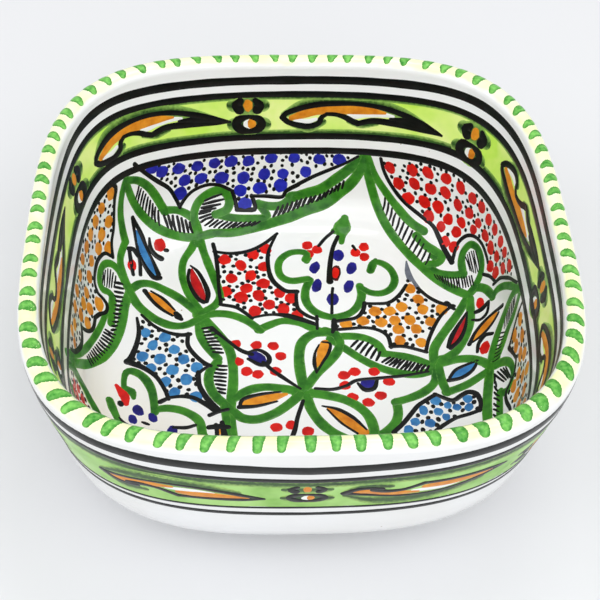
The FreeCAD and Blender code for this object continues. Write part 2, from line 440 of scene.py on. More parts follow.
def closing_coat(name, node, place, rows, material):
    """Coat that closes in the middle, from a sphere; place turns angle and row into points."""
    deselect()
    bpy.ops.mesh.primitive_uv_sphere_add(segments=ROUND, ring_count=rows, radius=1)
    points = points_of(bpy.context.object.data)
    row = np.round(np.arccos(np.clip(points[:, 2], -1, 1)) / math.pi * rows)
    return finish_coat(name, node, place(np.arctan2(points[:, 1], points[:, 0]), row), material)


# %% Inside, outside and base coats
INSIDE_ROWS, OUTSIDE_ROWS, BASE_ROWS, LIP_ROWS = 160, 96, 20, 40


def inside_place(angle, row):
    """Points of the inside coat; row 0 is in the middle of the face that shows."""
    last = INSIDE_ROWS - CLAY_ROWS
    shows = row <= last
    on_clay = np.r_[0, np.linspace(FLOOR_WALK, INNER_SPRING, CLAY_ROWS - 1)]
    back = np.interp(INSIDE_ROWS - row, np.arange(CLAY_ROWS), on_clay)
    return skin(angle, np.where(shows, INNER_SPRING * row / last, back), np.where(shows, 0, -COAT))


def base_place(angle, row):
    """Points of the base coat: the first half of the rows lies on the clay."""
    middle = BASE_ROWS / 2
    clay = row < middle
    share = np.where(clay, row / (middle - 1), (BASE_ROWS - row) / middle)
    radius = FOOT_INNER_HALF * share * outline(angle, FOOT_SQUARENESS)
    level = np.where(clay, FOOT_TOP, FOOT_TOP - GLAZE)
    return np.stack([radius * np.cos(angle), radius * np.sin(angle), level], -1) * MM


closing_coat("inside_glaze_coat", "inside_glaze", inside_place, INSIDE_ROWS, WHITE["inside"])
# the outside and base coats take the greyer outside white, which is painted shade
ring_coat("outside_glaze_coat", "outside_glaze", FOOT_WALK, OUTER_SPRING, OUTSIDE_ROWS,
          WHITE["outside"])
closing_coat("base_glaze_coat", "base_glaze", base_place, BASE_ROWS, WHITE["outside"])

# %% [markdown]
# ## The lip
# The top of the lip wears a wide watery yellow line that fades into white on both sides.  It is part
# of the lip's own coat, so an attribute on the points says how many millimetres each is from the top
# of the lip, and the material turns that into yellow with an uneven edge.

# %% Lip coat
YELLOW_HALF = 4.3       # the yellow reaches this far from the top of the lip, measured over it
YELLOW_FADE = 1.6       # and fades over this much
YELLOW_WANDER = 0.6     # its edge wanders by this much either way
YELLOWS = linear(253, 255, 216), linear(248, 253, 190)
lip_middle = (INNER_SPRING + OUTER_SPRING) / 2
material, tree, shader = new_material("pale_yellow_lip_glaze")
from_top = put(tree, "Attribute", {"attribute_name": "from_top"}).outputs["Fac"]
away = put(tree, "Math", {"operation": "ABSOLUTE"})
fill(tree, away.inputs[0], from_top)
ragged = between(tree, clouds(tree, 0.008), 0.3, 0.7, -YELLOW_WANDER, YELLOW_WANDER)
away = sum_of(tree, away.outputs[0], ragged)
washed = mixed(tree, between(tree, clouds(tree, 0.012), 0.35, 0.65), *YELLOWS)
# the outer side of the lip takes the greyer outside white, which is painted shade
white = mixed(tree, between(tree, from_top, -1, 1), white_glaze_colour(tree, *INSIDE_WHITE),
              white_glaze_colour(tree, *SHADED_OUTSIDE_WHITE))
fill(tree, shader.inputs["Base Color"],
     mixed(tree, between(tree, away, YELLOW_HALF - YELLOW_FADE, YELLOW_HALF, 1, 0), white, washed))
glassy(tree, shader)
lip_coat = ring_coat("lip_glaze_coat", "rim_glaze", OUTER_SPRING, INNER_SPRING, LIP_ROWS, material)

radius = LIP_RADIUS + COAT
points = points_of(lip_coat.data) / MM
climb = np.arcsin(np.clip((points[:, 2] - SPRING) / radius, -1, 1))
angle = np.arctan2(points[:, 1], points[:, 0])
half = np.hypot(points[:, 0], points[:, 1]) / outline(angle, LIP_SQUARENESS)
lip_coat.data.attributes.new("from_top", "FLOAT", "POINT").data.foreach_set(
    "value", (math.pi / 2 - climb) * radius * np.sign(half - LIP_CENTRE))


# %% [markdown]
# ## Bare clay
# The foot stands unglazed, in a buff clay with grog and pores, a little rubbed where it touches the
# table.  The rest of the clay is under glaze, but it gets the same body so that every solid is
# finished.

# %% Fired clay
def fired_clay(name, light, dark, rubbed):
    """Grogged clay; below the rubbed height it is a little darker, from use."""
    material, tree, shader = new_material(name)
    body = mixed(tree, between(tree, clouds(tree, 0.004, 6), 0.3, 0.7), light, dark)
    place = put(tree, "TexCoord").outputs["Object"]
    grog = put(tree, "TexVoronoi", Vector=place, Scale=700.0).outputs["Distance"]
    grains = between(tree, grog, 0.12, 0.2, 1, 0)
    body = mixed(tree, grains, body, linear(222, 196, 168))
    level = put(tree, "SeparateXYZ", Vector=place).outputs[2]
    worn = mixed(tree, between(tree, level, 0, rubbed, 0.45, 0), body, linear(132, 96, 74))
    fill(tree, shader.inputs["Base Color"], worn)
    pores = put(tree, "Bump", Strength=0.5, Distance=0.00025, Height=clouds(tree, 0.0012, 8))
    fill(tree, shader.inputs["Normal"], pores.outputs[0])
    fill(tree, shader.inputs["Roughness"], between(tree, clouds(tree, 0.003), 0.3, 0.7, 0.75, 0.95))
    return material


BODY = fired_clay("fired_clay_body", linear(206, 160, 124), linear(184, 134, 100), 0.001)
FOOT = fired_clay("bare_foot_clay", linear(212, 172, 138), linear(190, 146, 112), 0.002)
for node, material in (("wall", BODY), ("belly", BODY), ("floor", BODY), ("foot_ring", FOOT)):
    give(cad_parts[node], material)
    print(node, "is", material.name)


# %% [markdown]
# ## Where a brush can go
# Strokes are drawn on four flat sheets and laid on the skin.  The *floor sheet* is a plan of the
# inside: x to the right and y away from the viewer, with distances measured along the skin, so it
# stays true up the wall.  The two *band sheets* unroll the inner and the outer wall: along, to the
# right as one looks at that wall, and the height.  The *lip sheet* runs along the lip and over it.

# %% Sheets
BAND_LEVEL = 65.0       # the unrolled bands are true at this height
TABLE_POINTS = 3601


def floor_sheet(x, y, lift):
    angle = np.arctan2(y, x)
    return skin(angle, np.hypot(x, y) / outline(angle, FOOT_SQUARENESS), lift)


def round_table(walk):
    """Angles round the bowl, and the way travelled to each, at one walk."""
    angles = np.linspace(-math.pi, math.pi, TABLE_POINTS)
    points = skin(angles, walk) / MM
    way = np.r_[0, np.cumsum(np.linalg.norm(np.diff(points, axis=0), axis=1))]
    return angles, way


def walk_at(level, inside):
    """Walk to a height on the inner or the outer wall."""
    wall = WALK <= INNER_SPRING if inside else WALK >= OUTER_SPRING
    walks, heights = WALK[wall], SECTION[wall, 1]
    order = np.argsort(heights)
    return np.interp(level, heights[order], walks[order])


INSIDE_ANGLES, INSIDE_WAY = round_table(walk_at(BAND_LEVEL, True))
OUTSIDE_ANGLES, OUTSIDE_WAY = round_table(walk_at(BAND_LEVEL, False))
LIP_ANGLES, LIP_WAY = round_table(lip_middle)
print(f"round the inside {INSIDE_WAY[-1]:.0f} mm, outside {OUTSIDE_WAY[-1]:.0f}, lip {LIP_WAY[-1]:.0f}")


def inside_band(along, level, lift):
    angle = np.interp(-along % INSIDE_WAY[-1], INSIDE_WAY, INSIDE_ANGLES)
    return skin(angle, walk_at(level, True), lift)


def outside_band(along, level, lift):
    angle = np.interp(along % OUTSIDE_WAY[-1], OUTSIDE_WAY, OUTSIDE_ANGLES)
    return skin(angle, walk_at(level, False), lift)


def lip_sheet(along, over, lift):
    angle = np.interp(along % LIP_WAY[-1], LIP_WAY, LIP_ANGLES)
    return skin(angle, lip_middle - over, lift)


# %% [markdown]
# ## Paints
# Glaze paints are watery: thin and pale at the edge of a stroke, deep where the brush rested, and
# clouded in between.  Two attributes are laid on every stroke: *edge*, from 0 in its middle to 1 at
# its border, and *tone*, which differs a little from stroke to stroke.  Each paint is then three
# colours, thin, body and deep, mixed by those attributes and by noise.

# %% Paint materials
def lime_colour(tree, wash=((150, 205, 90), (196, 236, 128), (180, 226, 106))):
    """Watery lime wash with pale pools."""
    deep, pale, body = (linear(*colour) for colour in wash)
    pools = between(tree, clouds(tree, 0.02, 3), 0.36, 0.62)
    fine = between(tree, clouds(tree, 0.005, 3), 0.3, 0.7, 0, 0.5)
    return mixed(tree, fine, mixed(tree, pools, deep, pale), body)


def paint_material(name, thin, body, deep, thin_edge=0.8, cloud=0.004):
    """Three-colour paint; thin may be "lime", for a paint that bleeds into that wash."""
    material, tree, shader = new_material(name)
    edge = put(tree, "Attribute", {"attribute_name": "edge"}).outputs["Fac"]
    tone = put(tree, "Attribute", {"attribute_name": "tone"}).outputs["Fac"]
    depth = sum_of(tree, between(tree, clouds(tree, cloud, 3), 0.3, 0.7, -0.45, 0.45), tone)
    middle = mixed(tree, depth, linear(*body), linear(*deep))
    ragged = sum_of(tree, edge, between(tree, clouds(tree, 0.0015), 0.3, 0.7, -0.15, 0.15))
    border = lime_colour(tree) if thin == "lime" else linear(*thin)
    fill(tree, shader.inputs["Base Color"],
         mixed(tree, between(tree, ragged, thin_edge, 1.05), middle, border))
    glassy(tree, shader, 0.3)
    return material


GREEN, BLACK, RED, ORANGE, BLUE, NAVY, SKY = "green", "black", "red", "orange", "blue", "navy", "sky"
CRIMSON, BRICK, GREY, SHADE, CREAM, DAB = "crimson", "brick", "grey", "shade", "cream", "dab"
LIME, DEEP_LIME = "lime", "deep_lime"
# Thin, body and deep colour, and where needed the edge where thinning starts and the clouds' size.
PAINTS = {
    GREEN: paint_material("green_leaf_paint", (104, 166, 70), (62, 138, 34), (24, 88, 20), 0.6, 0.005),
    BLACK: paint_material("black_outline_paint", (36, 44, 38), (12, 15, 14), (4, 5, 5)),
    RED: paint_material("red_berry_paint", (232, 74, 56), (226, 24, 14), (190, 10, 8)),
    ORANGE: paint_material("orange_petal_paint", (222, 160, 74), (236, 154, 38), (200, 110, 16), 0.7),
    BLUE: paint_material("dark_blue_dot_paint", (84, 92, 204), (38, 46, 184), (20, 24, 134)),
    NAVY: paint_material("navy_bud_paint", (70, 64, 170), (34, 30, 140), (18, 14, 90)),
    SKY: paint_material("light_blue_dot_paint", (120, 176, 216), (66, 140, 200), (38, 102, 166)),
    CRIMSON: paint_material("crimson_petal_paint", (150, 34, 40), (206, 24, 30), (150, 12, 22), 0.5),
    BRICK: paint_material("dark_red_bud_paint", (110, 34, 30), (64, 14, 14), (30, 8, 10)),
    GREY: paint_material("thin_grey_outline_paint", (170, 176, 186), (116, 122, 134), (76, 82, 94)),
    SHADE: paint_material("dark_green_shade_paint", "lime", (56, 96, 38), (32, 60, 24), 0.2, 0.006),
    CREAM: paint_material("white_reserve_paint", (240, 246, 226), (250, 251, 248), (244, 246, 240)),
    DAB: paint_material("green_lip_dab_paint", (48, 126, 40), (132, 206, 98), (46, 138, 40),
                        0.36, 0.0018),
}
WASHES = {
    LIME: ("lime_inside_wash", ((198, 244, 88), (244, 255, 168), (222, 254, 116))),
    DEEP_LIME: ("lime_outside_wash", ((128, 184, 76), (182, 226, 136), (160, 210, 106))),
}
for wash, (name, colours) in WASHES.items():
    material, tree, shader = new_material(name)
    fill(tree, shader.inputs["Base Color"], lime_colour(tree, colours))
    glassy(tree, shader, 0.3)
    PAINTS[wash] = material
print(len(PAINTS), "paints")


# %% [markdown]
# ## The brush
# No operator lays a stroke on a doubly curved wall, so a stroke is a strip of faces built from its
# points.  Its middle line is a smooth curve through a few points.  At each step, a row of points
# crosses it: both borders sink just into the glaze and the middle stands a few hundredths of a
# millimetre proud, as enamel does.  The width wanders like a hand's, and each end is round.  What
# one colour paints on one wall is gathered in a *pot*, and each pot is poured out as one piece.

# %% Brush helpers
STEP = 1.2              # distance between rows of a stroke
SINK = -0.03            # lift of a border, inside the glaze
LAYER = {LIME: 0.012, DEEP_LIME: 0.012, SHADE: 0.03, CREAM: 0.05, BRICK: 0.052, BLACK: 0.088}
COLOUR_LAYER = 0.068    # lift of every other paint
HAIRS = 0, 0.003, 0.006, 0.009, 0.012       # one of these is added to each stroke's lift
CROWN = 0.004           # the middle of a stroke stands this much higher
SPREAD = {BLACK: 1.07, RED: 1.1, ORANGE: 1.08, BLUE: 1.04}      # how far a paint runs
DRIFT = 0.07            # how much the width of a stroke wanders
ACROSS = np.array([-1.06, -0.86, 0, 0.86, 1.06])    # a row of a stroke, as shares of its half width
ROUNDING = np.array([0.0, 0.35, 0.7, 0.92, 1.0])    # share of the width, from the tip of a stroke in
CURVE_PARTS = 12        # a smooth curve is first drawn with this many parts between two points
EDGE_POWER = 1.5        # how late the edge attribute grows from the middle of a stroke out
SHARPEST, BEND_ROOM = 2, 0.9    # one over the radius of the tightest bend, and the share of it used
STROKE_TONE, DOT_TONE = (0.2, 0.55), (0.1, 0.7)
DOT_ROUNDNESS = 0.9, 1.08       # the border of a dot wanders between these shares of its size
DOT_BORDER, DOT_TOP = 1.08, 0.84        # shares of its size where it sinks in and where it is full
DOT_TOP_EDGE = 0.75     # its edge attribute where it is full
hand = random.Random(11)
pots = {}


def numbers(text):
    """Numbers from a line of text; a plain number becomes a list of one."""
    return [float(part) for part in str(text).split()]


def places(text):
    """Pairs such as "3,-18 2,4" as rows of x and y."""
    return np.array([[float(value) for value in pair.split(",")] for pair in text.split()])


def smooth_path(points, step=STEP):
    """Even steps along a smooth curve through the points, straight when there are two."""
    before, after = 2 * points[0] - points[1], 2 * points[-1] - points[-2]
    chain = np.vstack([before, points, after])
    parts = []
    for a, b, c, d in zip(chain, chain[1:], chain[2:], chain[3:]):
        t = np.linspace(0, 1, CURVE_PARTS + 1)[:-1, None]
        parts.append(b + 0.5 * t * (c - a) + t * t * (a - 2.5 * b + 2 * c - 0.5 * d)
                     + t ** 3 * (1.5 * b - 1.5 * c + 0.5 * d - 0.5 * a))
    fine = np.vstack(parts + [points[-1:]])
    way = np.r_[0, np.cumsum(np.linalg.norm(np.diff(fine, axis=0), axis=1))]
    steps = max(2, round(way[-1] / step))
    return np.stack([np.interp(np.linspace(0, way[-1], steps + 1), way, side) for side in fine.T], 1)


def wander(count, amount):
    """A slow random drift around 1."""
    knots = [hand.uniform(1 - amount, 1 + amount) for _ in range(max(2, count // 5 + 2))]
    return np.interp(np.linspace(0, 1, count), np.linspace(0, 1, len(knots)), knots)


def pour_in(colour, sheet, points, faces, edge, tone):
    """Add faces of one stroke to the pot of its colour and sheet."""
    rows = pots.setdefault((colour, sheet), [])
    rows.append((points, faces, edge, np.full(len(points), tone)))


def next_lift(colour):
    """Lift for the next stroke; it varies by a hair so that strokes never share a face."""
    return LAYER.get(colour, COLOUR_LAYER) + hand.choice(HAIRS)


def stroke(colour, widths, points, sheet, step=STEP):
    """A round-ended brush stroke along the points."""
    middle = smooth_path(points, step)
    heading = np.gradient(middle, axis=0)
    pace = np.maximum(np.linalg.norm(heading, axis=1), 1e-6)
    heading /= pace[:, None]
    wide = np.interp(np.linspace(0, 1, len(middle)), np.linspace(0, 1, len(widths)), widths)
    wide = wide * wander(len(middle), DRIFT) * SPREAD.get(colour, 1)
    middle, heading, wide = round_ends(middle, heading, wide)
    aside = np.stack([-heading[:, 1], heading[:, 0]], 1)
    offset = keep_in_bend(middle, ACROSS * wide[:, None] / 2)
    spots = middle[:, None, :] + aside[:, None, :] * offset[..., None]
    top = next_lift(colour)
    lift = np.array([SINK, top, top + CROWN, top, SINK]) * np.ones((len(middle), 1))
    lift[[0, -1]] = SINK
    edge = np.minimum(np.abs(ACROSS), 1) ** EDGE_POWER * np.ones((len(middle), 1))
    edge[[0, -1]] = 1
    grid = np.arange(offset.size).reshape(offset.shape)
    faces = np.stack([grid[:-1, :-1], grid[1:, :-1], grid[1:, 1:], grid[:-1, 1:]], -1).reshape(-1, 4)
    flat = spots.reshape(-1, 2)
    body = sheet(flat[:, 0], flat[:, 1], lift.ravel())
    pour_in(colour, sheet, body, faces, edge.ravel(), hand.uniform(*STROKE_TONE))


def round_ends(middle, heading, wide):
    """Lengthen a stroke at both ends by a half circle of its width."""
    opening, closing = ROUNDING[:-1], ROUNDING[-2::-1]
    first = middle[0] - heading[0] * (wide[0] / 2) * np.cos(np.arcsin(opening))[:, None]
    last = middle[-1] + heading[-1] * (wide[-1] / 2) * np.cos(np.arcsin(closing))[:, None]
    middle = np.vstack([first, middle, last])
    turns = (len(opening), 1)
    heading = np.vstack([np.tile(heading[0], turns), heading, np.tile(heading[-1], turns)])
    wide = np.r_[wide[0] * opening, wide, wide[-1] * closing]
    return middle, heading, np.maximum(wide, 0.02)


def keep_in_bend(middle, offset):
    """Keep points on the inner side of a tight bend just short of its centre."""
    run = np.gradient(middle, axis=0)
    turn = np.gradient(np.unwrap(np.arctan2(run[:, 1], run[:, 0])))
    pace = np.maximum(np.linalg.norm(run, axis=1), 1e-6)
    bend = np.clip(turn / pace, -SHARPEST, SHARPEST)
    limit = BEND_ROOM / np.maximum(np.abs(bend), 1e-3)
    inner = np.sign(offset) == np.sign(bend)[:, None]
    return np.where(inner, np.clip(offset, -limit[:, None], limit[:, None]), offset)


def dot(colour, wide, high, tilt, centre, sheet, sides=12):
    """A small oval touch of the brush, two rings of points and a middle; a speck has few sides."""
    turn = np.linspace(0, 2 * math.pi, sides, endpoint=False)
    unsteady = np.array([hand.uniform(*DOT_ROUNDNESS) for _ in turn])
    oval = np.stack([wide / 2 * np.cos(turn), high / 2 * np.sin(turn)], 1) * unsteady[:, None]
    c, s = math.cos(tilt), math.sin(tilt)
    oval = oval @ np.array([[c, s], [-s, c]])
    oval = oval * SPREAD.get(colour, 1)
    spots = np.vstack([centre + oval * DOT_BORDER, centre + oval * DOT_TOP, centre])
    top = next_lift(colour)
    lift = np.r_[np.full(sides, SINK), np.full(sides, top), top + CROWN]
    edge = np.r_[np.ones(sides), np.full(sides, DOT_TOP_EDGE), 0]
    here = np.arange(sides)
    after = (here + 1) % sides
    faces = [(sides + a, sides + b, 2 * sides) for a, b in zip(here, after)]
    faces += [(a, b, sides + b, sides + a) for a, b in zip(here, after)]
    body = sheet(spots[:, 0], spots[:, 1], lift)
    pour_in(colour, sheet, body, faces, edge, hand.uniform(*DOT_TONE))


# %% [markdown]
# ## Words for what is painted
# A group of strokes is a list made with four words.  A *line* has a colour, its width or widths from
# end to end, and points.  A *blob* is an oval touch, repeated at each place.  A *hatch* is a row
# of short black lines between two curves.  A *panel* has an outline for fine black specks and places
# for its coloured dots.  Every size and place is in millimetres on a sheet, read as "x,y".
# `paint` draws a group, and can first turn it about the middle of the flower, because the garden
# repeats every third of a turn, with other colours if wished.

# %% Words
def line(colour, widths, points):
    return "line", colour, numbers(widths), places(points)


def blob(colour, wide, high, tilt, centres):
    """Tilt is in degrees, turned to the left."""
    return "blob", colour, (wide, high, math.radians(tilt)), places(centres)


def hatch(count, width, first, second):
    """First and second are points of the two curves that the short lines join."""
    return "hatch", BLACK, (count, width), (places(first), places(second))


def panel(colour, wide, high, corners, dots):
    return "panel", colour, (wide, high), (places(corners), places(dots))


# %% Turning a group
FLOWER_MIDDLE = np.array([3.0, -21.0])
GARDEN_WALK = 113.0     # the garden fills the inside up to the first black line


def garden_edge(bearing):
    """Distance from the flower's middle to the edge of the garden."""
    reach = np.arange(40.0, 190.0, 0.5)     # the edge lies somewhere along these
    x = FLOWER_MIDDLE[0] + reach * math.cos(bearing)
    y = FLOWER_MIDDLE[1] + reach * math.sin(bearing)
    walk = np.hypot(x, y) / outline(np.arctan2(y, x), FOOT_SQUARENESS)
    return float(np.interp(GARDEN_WALK, walk, reach))


def carried(points, turn):
    """Points turned about the flower; far ones are drawn in or out to fit the garden there."""
    if not turn:
        return points
    moved = []
    for dx, dy in points - FLOWER_MIDDLE:
        far, bearing = math.hypot(dx, dy), math.atan2(dy, dx)
        here, there = garden_edge(bearing), garden_edge(bearing + turn)
        share = min(1.0, far / here)
        weight = share * share * (3 - 2 * share)
        far *= 1 - weight + weight * there / here
        moved.append((far * math.cos(bearing + turn), far * math.sin(bearing + turn)))
    return FLOWER_MIDDLE + np.array(moved)


# %% Specks and dots of a panel
SPECKS_APART = 2.75
SPECK_TRIES = 1500
SPECK_CLEAR = 0.56      # from the middle of a dot, in widths of the dot
SPECK_WIDE, SPECK_HIGH, SPECK_SIDES = (1.7, 2.2), (1.9, 2.6), 7
DOT_GROWTH = 0.9, 1.1   # shares of its size that a dot comes out at
DOT_LEAN, SPECK_LEAN = 0.3, 0.6         # radians either way


def is_inside(corners, x, y):
    """Whether a place is inside an outline."""
    found = False
    for (x1, y1), (x2, y2) in zip(corners, np.roll(corners, -1, axis=0)):
        if (y1 > y) != (y2 > y) and x < (x2 - x1) * (y - y1) / (y2 - y1) + x1:
            found = not found
    return found


def specks(corners, dots, size):
    """Places for fine specks inside an outline, clear of the dots and of each other."""
    low, high = corners.min(axis=0), corners.max(axis=0)
    taken = []
    for _ in range(SPECK_TRIES):
        x, y = hand.uniform(low[0], high[0]), hand.uniform(low[1], high[1])
        clear = np.linalg.norm((dots - (x, y)) / size, axis=1).min() > SPECK_CLEAR
        apart = not taken or np.linalg.norm(np.array(taken) - (x, y), axis=1).min() > SPECKS_APART
        if clear and apart and is_inside(corners, x, y):
            taken.append((x, y))
    return np.array(taken)


def elbow_room(dots, size):
    """One, or less for a dot whose neighbour is so near that it has to be painted smaller."""
    gaps = np.linalg.norm(dots[:, None] - dots[None], axis=2)
    np.fill_diagonal(gaps, np.inf)
    return np.minimum(1, gaps.min(axis=1) / size[1])


def paint_panel(colour, size, shape, turn):
    corners, dots = shape
    fine = specks(corners, dots, size)
    for centre, room in zip(carried(dots, turn), elbow_room(dots, size)):
        wide, high = (side * room * hand.uniform(*DOT_GROWTH) for side in size)
        dot(colour, wide, high, turn + hand.uniform(-DOT_LEAN, DOT_LEAN), centre, floor_sheet)
    for centre in carried(fine, turn):
        wide, high = hand.uniform(*SPECK_WIDE), hand.uniform(*SPECK_HIGH)
        lean = turn + hand.uniform(-SPECK_LEAN, SPECK_LEAN)
        dot(BLACK, wide, high, lean, centre, floor_sheet, SPECK_SIDES)


# %% Hatches and whole groups
HATCH_SHAKE = 0.3       # how far the middle of a short line strays
HATCH_TAPER = 0.8, 1, 0.7       # its width from end to end, as shares


def paint_hatch(size, shape, turn):
    count, width = size
    first, second = (smooth_path(carried(side, turn)) for side in shape)
    for share in np.linspace(0, 1, count):
        ends = np.array([[np.interp(share, np.linspace(0, 1, len(side)), part) for part in side.T]
                         for side in (first, second)])
        shake = [hand.uniform(-HATCH_SHAKE, HATCH_SHAKE) for _ in "xy"]
        spots = np.vstack([ends[0], ends.mean(axis=0) + shake, ends[1]])
        stroke(BLACK, [width * taper for taper in HATCH_TAPER], spots, floor_sheet)


def paint(group, turn=0, swap=None):
    """Draw a group on the floor sheet, turned by degrees, with colours swapped where swap says so."""
    turn, swap = math.radians(turn), swap or {}
    for word, colour, size, shape in group:
        colour = swap.get(colour, colour)
        if word == "line":
            stroke(colour, size, carried(shape, turn), floor_sheet)
        elif word == "blob":
            for centre in carried(shape, turn):
                dot(colour, size[0], size[1], size[2] + turn, centre, floor_sheet)
        elif word == "hatch":
            paint_hatch(size, shape, turn)
        else:
            paint_panel(colour, size, shape, turn)


# %% [markdown]
# ## The flower in the middle
# Three open petals leave one point, each a loop of green with an orange core between black lines.
# Between them, three black stems carry dark blue buds ringed by red berries.  The strokes are listed
# petal by petal.  Their order matters little, because each paint has its own lift, and black lies
# over the rest like the outlines that a painter adds last.

# %% Flower
FLOWER = [
    line(GREEN, 4.7, "3,-18 1.8,-9 1.6,0 3.2,7 8,11.6 13,12.5"),
    line(GREEN, 4.5, "4,-18 8.5,-11 13.5,-5 18,1 19.6,6 18,11 13.5,13.3"),
    line(GREEN, 4.4, "1,-20 -6,-18.3 -13,-17.4 -20,-18.8 -26.5,-23"),
    line(GREEN, 4.4, "1,-22 -4,-27 -10,-31.5 -17,-34.2 -23,-33.5 -27,-30"),
    line(GREEN, 4.6, "5,-20.5 12,-22 20,-24.5 26,-28.5 30,-34 31.5,-41 30.5,-46"),
    line(GREEN, 4.6, "4,-22 6,-30 10,-37 16,-42.5 23,-46 30,-47"),
    line(GREEN, "3 8 3", "-1,-21 4,-21.3 9,-20.5"),
    line(ORANGE, "4.2 4.8 3.4 1", "13.2,6 12,1 10.3,-4 8.6,-8.3"),
    line(BLACK, "1 1.7 1.5 1", "12,7 15.4,6 14.3,0.5 11.6,-4.5 8.8,-10"),
    line(BLACK, "0.8 1.2 1.8 1.2", "10.5,5.5 8.6,1 8.1,-4.5 8.8,-10"),
    line(ORANGE, "4.2 5 4 1.4", "-22,-25.8 -16,-24.3 -10,-22.8 -4.5,-21.3"),
    line(BLACK, "1.6 2.2 1.7 0.9", "-24.3,-28 -22.8,-23.8 -16,-21.4 -7,-20"),
    line(BLACK, "2.2 1.7 1", "-24.5,-27.8 -17,-27.3 -8.5,-25"),
    line(ORANGE, "1.4 4 5.2 4.4", "13,-29 18,-33.5 23,-38 27,-41.3"),
    line(BLACK, "0.8 1.9 1.7 1", "10.5,-27.7 17,-29.6 23,-33.8 28.3,-40"),
    line(BLACK, "0.8 1.2 1", "12.5,-29.5 18,-36.5 24.5,-42"),
    line(BLACK, "1.3 1.9 1.8", "1.5,-18.5 -5,-13 -10,-8.5 -14,-4"),
    line(BLACK, "2.2 1.8 1.9 2.4", "-19,0.5 -24,3 -30,8.8 -36.5,15.5"),
    line(BLACK, "1.6 1.9 1.6 1.8 1.2", "8,-18.5 15,-19 21,-17.3 26,-14.3 36,-13.2 47,-12 57,-10"),
    line(BLACK, "1.8 2 1.6 1.2", "2.5,-25 0,-33 -1.5,-40 -4,-47 -8,-58 -10.5,-68"),
    blob(NAVY, 9.4, 5.4, -35, "-16.5,-1.3"),
    line(BLACK, "1.2 2 2.4 1.6", "-21,1.5 -16,2.9 -11.7,-0.6 -12,-4.4 -15.5,-5.2 -20.5,-2"),
    blob(NAVY, 6.4, 5.6, 0, "30.5,-16"),
    line(BLACK, "1.4 2.2 2.2 1.4", "26.3,-16 29,-19.4 33,-18.6 34.6,-14"),
    blob(NAVY, 5.4, 9, -15, "-5,-51"),
    line(BLACK, "1.2 2 2 1.4", "-3.2,-46 -7.8,-49 -8.6,-54 -6,-56.5"),
    blob(RED, 4.7, 4.5, 0, "-26,6.4 -17,5.6 -9.5,5 -6.4,-0.6 -25,-3.5 -21.2,-8.8 -16.4,-10.4 "
         "-8.7,-8.9"),
    blob(RED, 5, 4.4, 0, "20.6,-11.5 25.2,-9.6 33.6,-9.6 20.6,-17 39.6,-15.2 23.5,-23.4 35.6,-22.6 "
         "30,-26.2"),
    blob(RED, 5, 4.5, 0, "-9,-38.4 -2.6,-37.4 4,-40.8 -13.5,-45.5 6,-49 -14.5,-54 0.5,-57.5 -11,-61.5"),
]

paint(FLOWER)
print("flower:", len(FLOWER), "kinds of marks")

# %% [markdown]
# ## The frame of the flower
# The flower sits in a frame of three sides.  One side is a plain scalloped line, the others are long
# leaves, each two green edges with black hatching between.  The sides shown here are drawn as they
# are, and the ones nearer the viewer are the same sides turned by a third.

# %% Frame sides
PLAIN_SIDE = [
    line(GREEN, 4.2, "-42,22.3 -35,23.9 -28,23.1 -21,19.6 -15,14"),
    line(GREEN, 4, "-15.8,14.2 -11,17 -5,19.3 2,18.3 8,14.8 14.5,12"),
]

LEAF_SIDE = [
    line(GREEN, 4, "16,9.7 24,10.2 31,9 36,5.4 38.4,0.3"),
    line(GREEN, 4, "37.8,0.2 44,-0.8 52,-3 60.5,-7.4"),
    line(GREEN, 4, "15.5,8.6 22,3 29,-3 36,-7.5 44,-10.5 52,-11.4 60.5,-9"),
    hatch(6, 1.4, "27.5,7.6 32.5,6 37,1",
          "24.5,4.2 30,-0.5 35,-3.6"),
    hatch(12, 1.4, "41,-2 48,-4 57.5,-7",
          "37.5,-4.6 46,-8.7 55.5,-10.4"),
]

LEFT_LEAF = [
    line(GREEN, 4, "-42.4,21 -41.5,12 -38.5,5 -33.5,-1.8"),
    line(GREEN, 4.2, "-33.8,-3.6 -37,-9 -37.2,-15.5 -34.3,-22 -28.5,-28.3"),
    line(GREEN, 4.4, "-40,21 -33.6,12 -29,4 -27.2,-5 -27,-15 -27.8,-25 -28,-33 -27,-44"),
    hatch(8, 1.5, "-40.5,15.3 -39,10 -35.7,2",
          "-36.5,16.2 -34,9.5 -31.5,1.5"),
    hatch(8, 1.5, "-33.5,-5.5 -35,-12 -33,-19.5",
          "-29.8,-5.8 -30.2,-12.5 -30.5,-20.5"),
]

RIGHT_SIDE = [
    line(GREEN, 4, "60.5,-8 59.3,-15.5 54.5,-20.6 48.5,-23.8 41.5,-26.2"),
    line(GREEN, 4, "42,-26 42.2,-32 40.5,-37 36,-41.6 30.5,-45"),
]

THIRD = 120             # degrees
for group in (PLAIN_SIDE, LEAF_SIDE, LEFT_LEAF, RIGHT_SIDE):
    paint(group)
paint(PLAIN_SIDE, THIRD)
paint(LEAF_SIDE, -THIRD)
print("frame of the flower done")

# %% [markdown]
# ## Clovers
# Outside each side of the frame stands a clover: a green outline of three curls round black stems,
# dark blue drops, a red bud, and red berries at its tips.  One is drawn and turned for a second.
# The third was painted more freely, and it has its own strokes.

